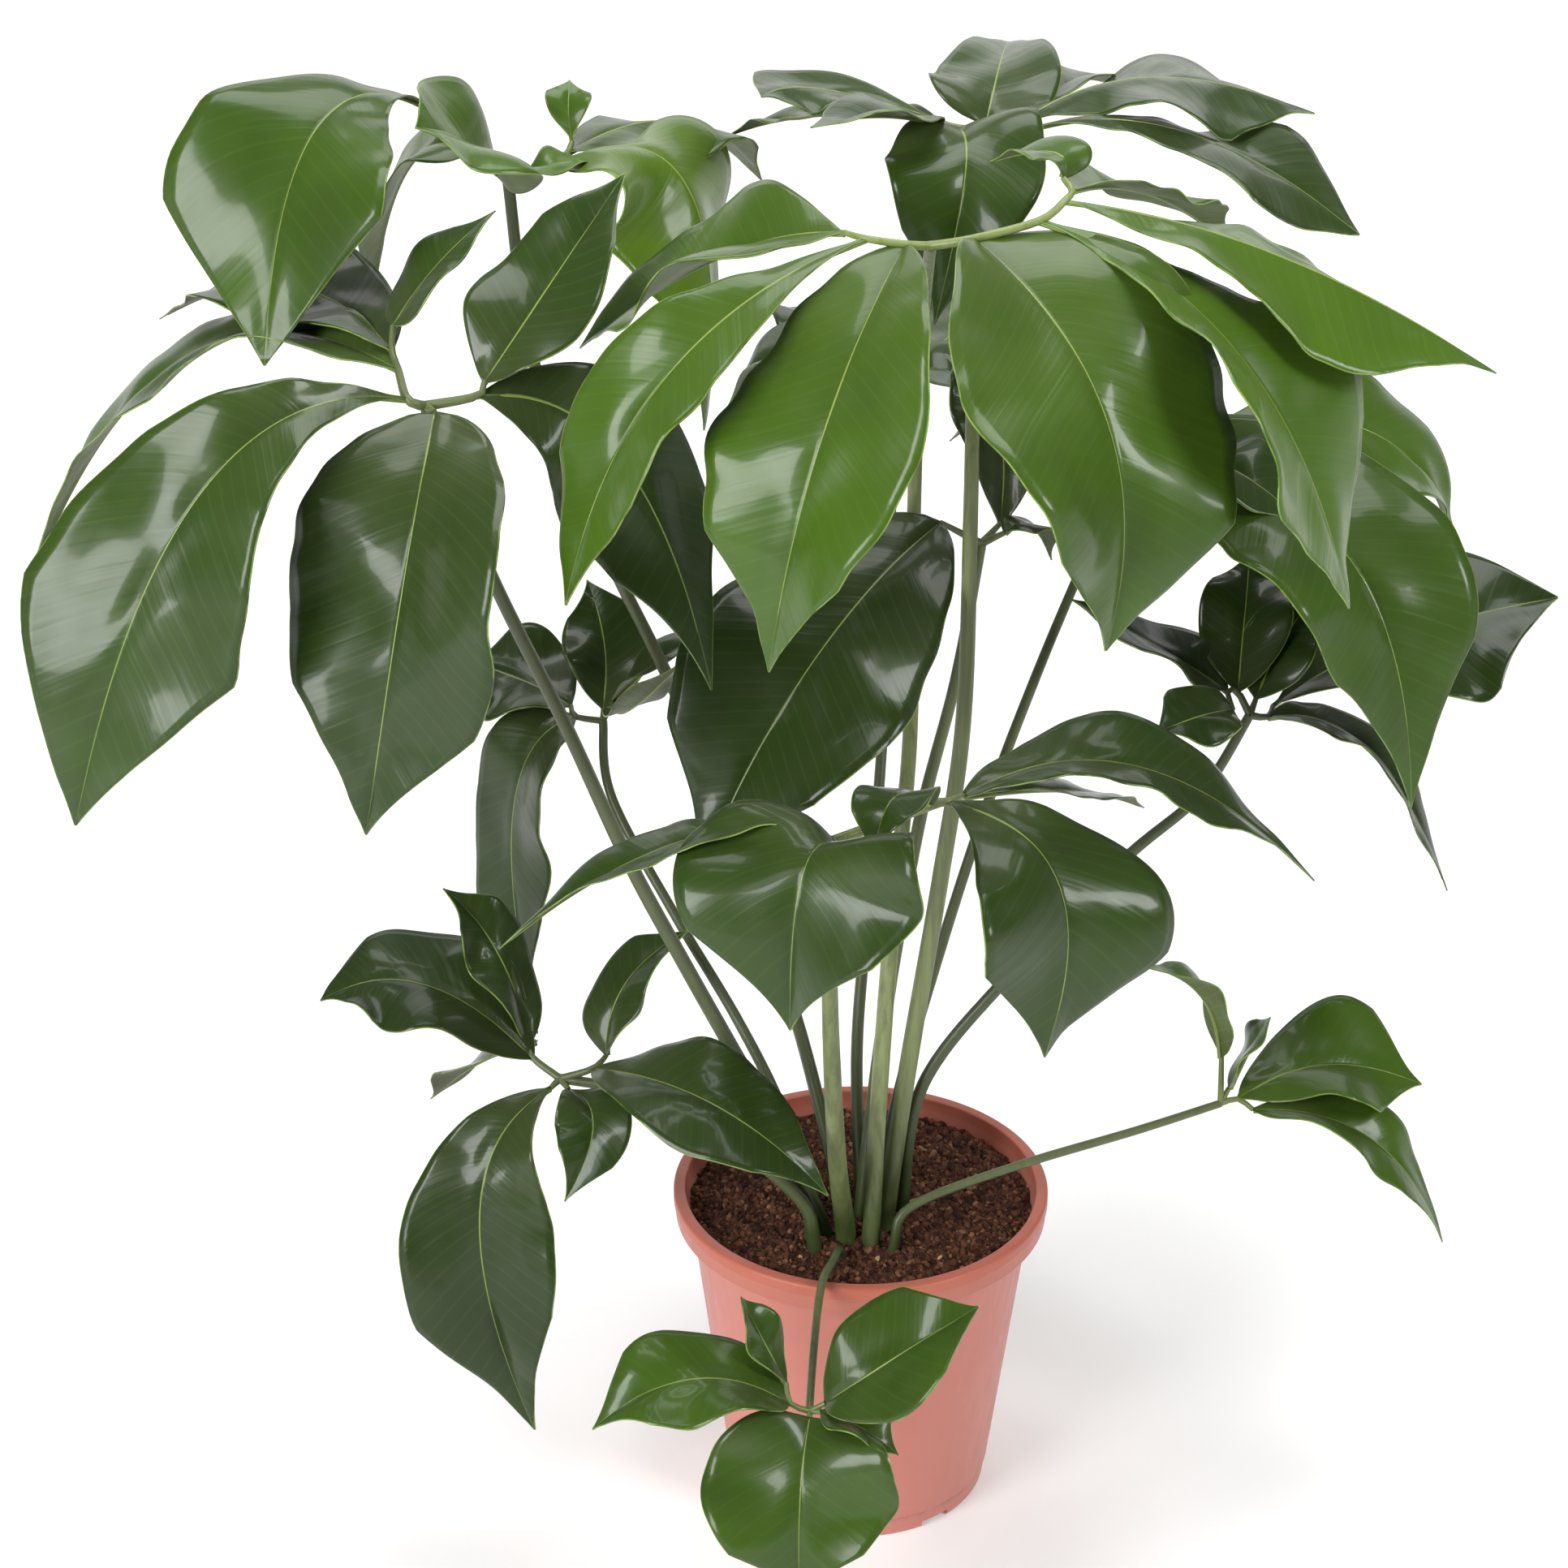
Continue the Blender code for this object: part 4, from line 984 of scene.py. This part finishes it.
# Fronds
def stalk_foot(frond):
    """The lowest point of a frond's stalk in the soil and the direction that it rises in."""
    top = Vector((*frond.foot, SOIL_EDGE_HEIGHT + SOIL_MOUND))
    aim = Vector(frond.route[0]) - top
    rise = Vector((STALK_LEAN * aim.x, STALK_LEAN * aim.y, max(aim.z, STALK_LEAST_RISE)))
    rise.normalize()
    return top - rise * STALK_FOOT_DEPTH, rise


def rib_point(hub, leaf, t):
    """The point on a leaflet's midrib at t from 0 to 1, and the direction that it runs in there."""
    base, middle, tip = (hub + Vector(end) for end in (leaf.base, leaf.middle, leaf.tip))
    bend = 2 * middle - 0.5 * (base + tip)
    point = (1 - t) ** 2 * base + 2 * t * (1 - t) * bend + t * t * tip
    run = 2 * (1 - t) * (bend - base) + 2 * t * (tip - bend)
    return point, run.normalized()


def half_width(leaf, t):
    """Half a leaflet's width at t, narrow at its base and drawn out at its tip."""
    lean = math.log(0.5) / math.log(leaf.widest)
    taper = leaf.taper + (LEAF_TIP_TAPER - leaf.taper) * t
    swell = math.sin(math.pi * t ** lean) ** taper if 0.0 < t < 1.0 else 0.0
    drip = 1.0 - LEAF_DRAWN_BY * max(t - LEAF_DRAWN_FROM, 0.0) / (1.0 - LEAF_DRAWN_FROM)
    least = LEAF_ROOT_WIDTH + (LEAF_TIP_WIDTH - LEAF_ROOT_WIDTH) * t
    return 0.5 * max(leaf.width * swell * drip, least)


def blade_frame(leaf, run):
    """The directions of a leaflet's right side and upper face, where its rib runs along run."""
    heading = Vector((leaf.tip[0] - leaf.base[0], leaf.tip[1] - leaf.base[1], 0.0))
    side = Vector((heading.y, -heading.x, 0.0)).normalized()
    side = (side - run * side.dot(run)).normalized()
    face = side.cross(run).normalized()
    cosine, sine = math.cos(math.radians(leaf.roll)), math.sin(math.radians(leaf.roll))
    return side * cosine - face * sine, face * cosine + side * sine


def rounded(s):
    """How a half's rise builds up from the midrib at 0 to the margin at 1: steep, then flat."""
    return s * (RISE_AT_RIB - RISE_LOSS * s)


def swells(leaf_seed, along, across, out):
    """How far a blade's surface swells and its margin waves at a place along and across it."""
    calm = min(abs(across) / CALM_BY_RIB, 1.0)
    swell = noise.noise(Vector((along / SWELL_LENGTH, across / SWELL_LENGTH, leaf_seed)))
    slice_at = math.copysign(MARGIN_WAVE_SLICE, across)
    wave = noise.noise(Vector((along / MARGIN_WAVE_LENGTH, leaf_seed, slice_at)))
    return SWELL_HEIGHT * swell * calm + MARGIN_WAVE_HEIGHT * wave * out ** 3


def sway(along, seed):
    """How far a margin swings in or out of its plain line, as a share of the half's width."""
    place = Vector((along / MARGIN_SWAY_LENGTH, seed, MARGIN_SWAY_SLICE))
    return 1.0 + MARGIN_SWAY * noise.noise(place)


def eased(height):
    """A height, eased off below the plant's highest point, which no leaflet passes."""
    over = height - (PLANT_TOP - TOP_EASE)
    return height if over <= 0.0 else PLANT_TOP - TOP_EASE * math.exp(-over / TOP_EASE)


def blade_rows(leaf, hub, phase, leaf_seed):
    """Each point of a leaflet's surface from base to tip, and where it is on the leaflet."""
    length = (Vector(leaf.tip) - Vector(leaf.base)).length
    steps = [k / LEAF_COLUMNS for k in range(-LEAF_COLUMNS, LEAF_COLUMNS + 1)]
    for row in range(LEAF_ROWS + 1):
        t = row / LEAF_ROWS
        along = t * length
        point, run = rib_point(hub, leaf, t)
        side, face = blade_frame(leaf, run)
        lifts = (leaf.fold + LEAF_WAVE * math.sin(LEFT_WAVES * t + phase),
                 leaf.fold + LEAF_WAVE * math.sin(RIGHT_WAVES * t + RIGHT_WAVE_SHIFT + phase))
        halves = [half_width(leaf, t) * sway(along, leaf_seed + shift) for shift in SIDE_SEEDS]
        for step in steps:
            half = halves[step > 0]
            calm = min(half / NARROW_HALF, 1.0)
            out = abs(step) ** COLUMN_CROWDING
            across = math.copysign(out * half, step)
            vein = (along - VEIN_SLANT * out * half) / VEIN_SPACING
            rise = half * lifts[step > 0] * rounded(out)
            rise += swells(leaf_seed, along, across, out) * calm
            rise += VEIN_RIPPLE * math.cos(math.tau * vein) * math.sin(math.pi * out)
            rise -= RIB_GROOVE * math.exp(-(across / RIB_GROOVE_WIDTH) ** 2) * calm
            place = point + side * across + face * rise
            place.z = eased(place.z)
            yield place, {"rib_mm": abs(across), "margin_mm": half - abs(across),
                          "vein": vein, "along": t}


def build_leaflets(name, frond, finishes, draw):
    """All the leaflets of a frond as one thin body with a glossy upper and a matt lower side."""
    hub = Vector(frond.hub)
    points, faces = [], []
    values = {key: [] for key in ("rib_mm", "margin_mm", "vein", "along", "shade")}
    wide = 2 * LEAF_COLUMNS + 1
    for leaves in (frond.middle, frond.left, frond.right):
        for i, leaf in enumerate(leaves):
            phase = LEAF_WAVE_SHIFT * i + FROND_WAVE_SHIFT * hub.x
            shade = leaf.shade + frond.shade + draw.uniform(-SHADE_SPREAD, SHADE_SPREAD)
            start = len(points)
            for place, measures in blade_rows(leaf, hub, phase, draw.uniform(*LEAF_SEEDS)):
                points.append(place * MM)
                for key, measure in measures.items():
                    values[key].append(measure)
                values["shade"].append(shade)
            for row in range(LEAF_ROWS):
                for k in range(wide - 1):
                    a = start + row * wide + k
                    faces.append((a, a + 1, a + 1 + wide, a + wide))
    mesh = bpy.data.meshes.new(name + "_leaflets")
    mesh.from_pydata(points, [], faces)
    point_values(mesh, **values)
    for material in finishes:
        mesh.materials.append(material)
    mesh.shade_smooth()
    item = linked(name + "_leaflets", mesh)
    wall = item.modifiers.new("Thickness", "SOLIDIFY")
    wall.thickness = LEAF_THICKNESS * MM
    wall.offset = 0.0
    wall.use_even_offset = False
    wall.material_offset = 1
    return settled(item)


def build_stems(name, frond, tree, material):
    """A frond's stalk, its two arms and the midribs of its leaflets, swept from lines."""
    hub = Vector(frond.hub)
    foot, rise = stalk_foot(frond)
    points, edges = [], []
    values = {key: [] for key in ("thickness", "pale", "foot", "shade")}
    foot_girth, top_girth = frond.girth
    arm = 0.5 * top_girth * ARM_GIRTH_SHARE
    paleness = frond.shade ** 2

    def line(route, radius_from, radius_to, pale, is_stalk=False):
        for i, place in enumerate(route):
            if i:
                edges.append((len(points) - 1, len(points)))
            t = i / (len(route) - 1)
            points.append(place * MM)
            values["thickness"].append((radius_from + (radius_to - radius_from) * t) * MM)
            values["pale"].append(pale)
            values["foot"].append(max(0.0, 1.0 - FOOT_FADE * max(i - 1, 0)) if is_stalk else 0.0)
            values["shade"].append(frond.stalk_shade)

    straight = foot + rise * (STALK_FOOT_DEPTH + STALK_STRAIGHT)
    route = [foot, straight, *(Vector(point) for point in frond.route), hub]
    line(route, 0.5 * foot_girth, 0.5 * top_girth, 0.0, True)
    for leaves in (frond.left, frond.right):
        if leaves:
            bases = [hub + Vector(leaf.base) for leaf in leaves]
            line([hub, *bases], arm, ARM_END_RADIUS, paleness)
    for leaf in frond.middle:
        line([hub, hub + Vector(leaf.base)], arm, ARM_END_RADIUS, paleness)
    for leaf in (*frond.middle, *frond.left, *frond.right):
        spots = []
        for k in range(RIB_POINTS):
            point, run = rib_point(hub, leaf, RIB_END * k / (RIB_POINTS - 1))
            side, face = blade_frame(leaf, run)
            spots.append(point - face * (RIB_SINK - RIB_SINK_LOSS * k / (RIB_POINTS - 1)))
        line(spots, RIB_RADIUS, RIB_END_RADIUS, RIB_PALENESS)
    mesh = bpy.data.meshes.new(name + "_stems")
    mesh.from_pydata(points, edges, [])
    point_values(mesh, **values)
    item = linked(name + "_stems", mesh)
    return grown(item, tree, step=STEM_STEP * MM, sides=STEM_SIDES, grooves=STEM_GROOVES,
                 groove_depth=STEM_GROOVE_DEPTH, finish=material)


def build_fronds():
    leaf_finishes = (leaf_upper_finish(), leaf_under_finish())
    stalk = stalk_finish()
    tree = stem_tree()
    draw = random.Random(FROND_SEED)
    for name, frond in FRONDS.items():
        leaflets = build_leaflets(name, frond, leaf_finishes, draw)
        carried(leaflets, "young_leaf" if name == "frond_top_bright" else "leaf", name)
        stems = build_stems(name, frond, tree, stalk)
        carried(stems, "stalk", name)


# Studio
def softbox(name, place, width, height, power):
    """A rectangular light that looks at the plant's middle."""
    light = bpy.data.lights.new(name, "AREA")
    light.shape = "RECTANGLE"
    light.size = width
    light.size_y = height
    light.energy = power
    item = linked(name, light)
    item.location = place
    item.rotation_euler = (Vector(LIGHT_AIM) - Vector(place)).to_track_quat("-Z", "Y").to_euler()


def build_camera(scene):
    camera = bpy.data.cameras.new("camera")
    camera.sensor_width = SENSOR_WIDTH
    camera.lens = SENSOR_WIDTH * FOCAL_PIXELS / PICTURE_SIDE
    item = linked("camera", camera)
    item.location = CAMERA_PLACE
    item.rotation_euler = (CAMERA_TILT, 0.0, 0.0)
    scene.camera = item


def build_floor():
    """A white floor that glows away from the plant, so that it ends in a plain white."""
    bpy.ops.mesh.primitive_circle_add(fill_type="NGON", vertices=FLOOR_SIDES, radius=FLOOR_RADIUS,
                                      location=(0.0, 0.0, -FLOOR_DROP))
    floor = bpy.context.active_object
    floor.name = "floor"
    material, tree, shader = finish("floor_white", base_color=colour("f0f0f0"), roughness=0.9,
                                    specular_ior_level=0.2, emission_color=colour("ffffff"))
    place = add(tree, "ShaderNodeTexCoord").outputs["Object"]
    away = add(tree, "ShaderNodeVectorMath", {0: place}, operation="LENGTH").outputs["Value"]
    join(tree, shader, emission_strength=soft_step(tree, away, 0.8, 3.2, 0.13, 0.75))
    floor.data.materials.append(material)


def build_air(scene):
    """Air that is bright at the horizon and dim above."""
    world = bpy.data.worlds.new("studio")
    world.use_nodes = True
    tree = world.node_tree
    air = tree.nodes["Background"]
    air.inputs["Color"].default_value = colour("ffffff")
    up = upward(tree, add(tree, "ShaderNodeTexCoord").outputs["Generated"])
    tree.links.new(soft_step(tree, up, 0.0, 0.2, 0.9, 0.18), air.inputs["Strength"])
    scene.world = world


def build_studio():
    scene = bpy.context.scene
    scene.view_settings.view_transform = "Standard"
    build_camera(scene)
    build_floor()
    build_air(scene)
    for settings in SOFTBOXES:
        softbox(*settings)


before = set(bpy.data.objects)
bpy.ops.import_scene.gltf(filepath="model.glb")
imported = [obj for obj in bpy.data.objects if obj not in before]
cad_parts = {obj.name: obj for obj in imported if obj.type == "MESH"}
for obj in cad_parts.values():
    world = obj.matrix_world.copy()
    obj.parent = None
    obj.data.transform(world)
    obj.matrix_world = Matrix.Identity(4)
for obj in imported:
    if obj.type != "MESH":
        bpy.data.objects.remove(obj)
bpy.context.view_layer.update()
build_studio()
build_pot()
build_ground()
build_fronds()
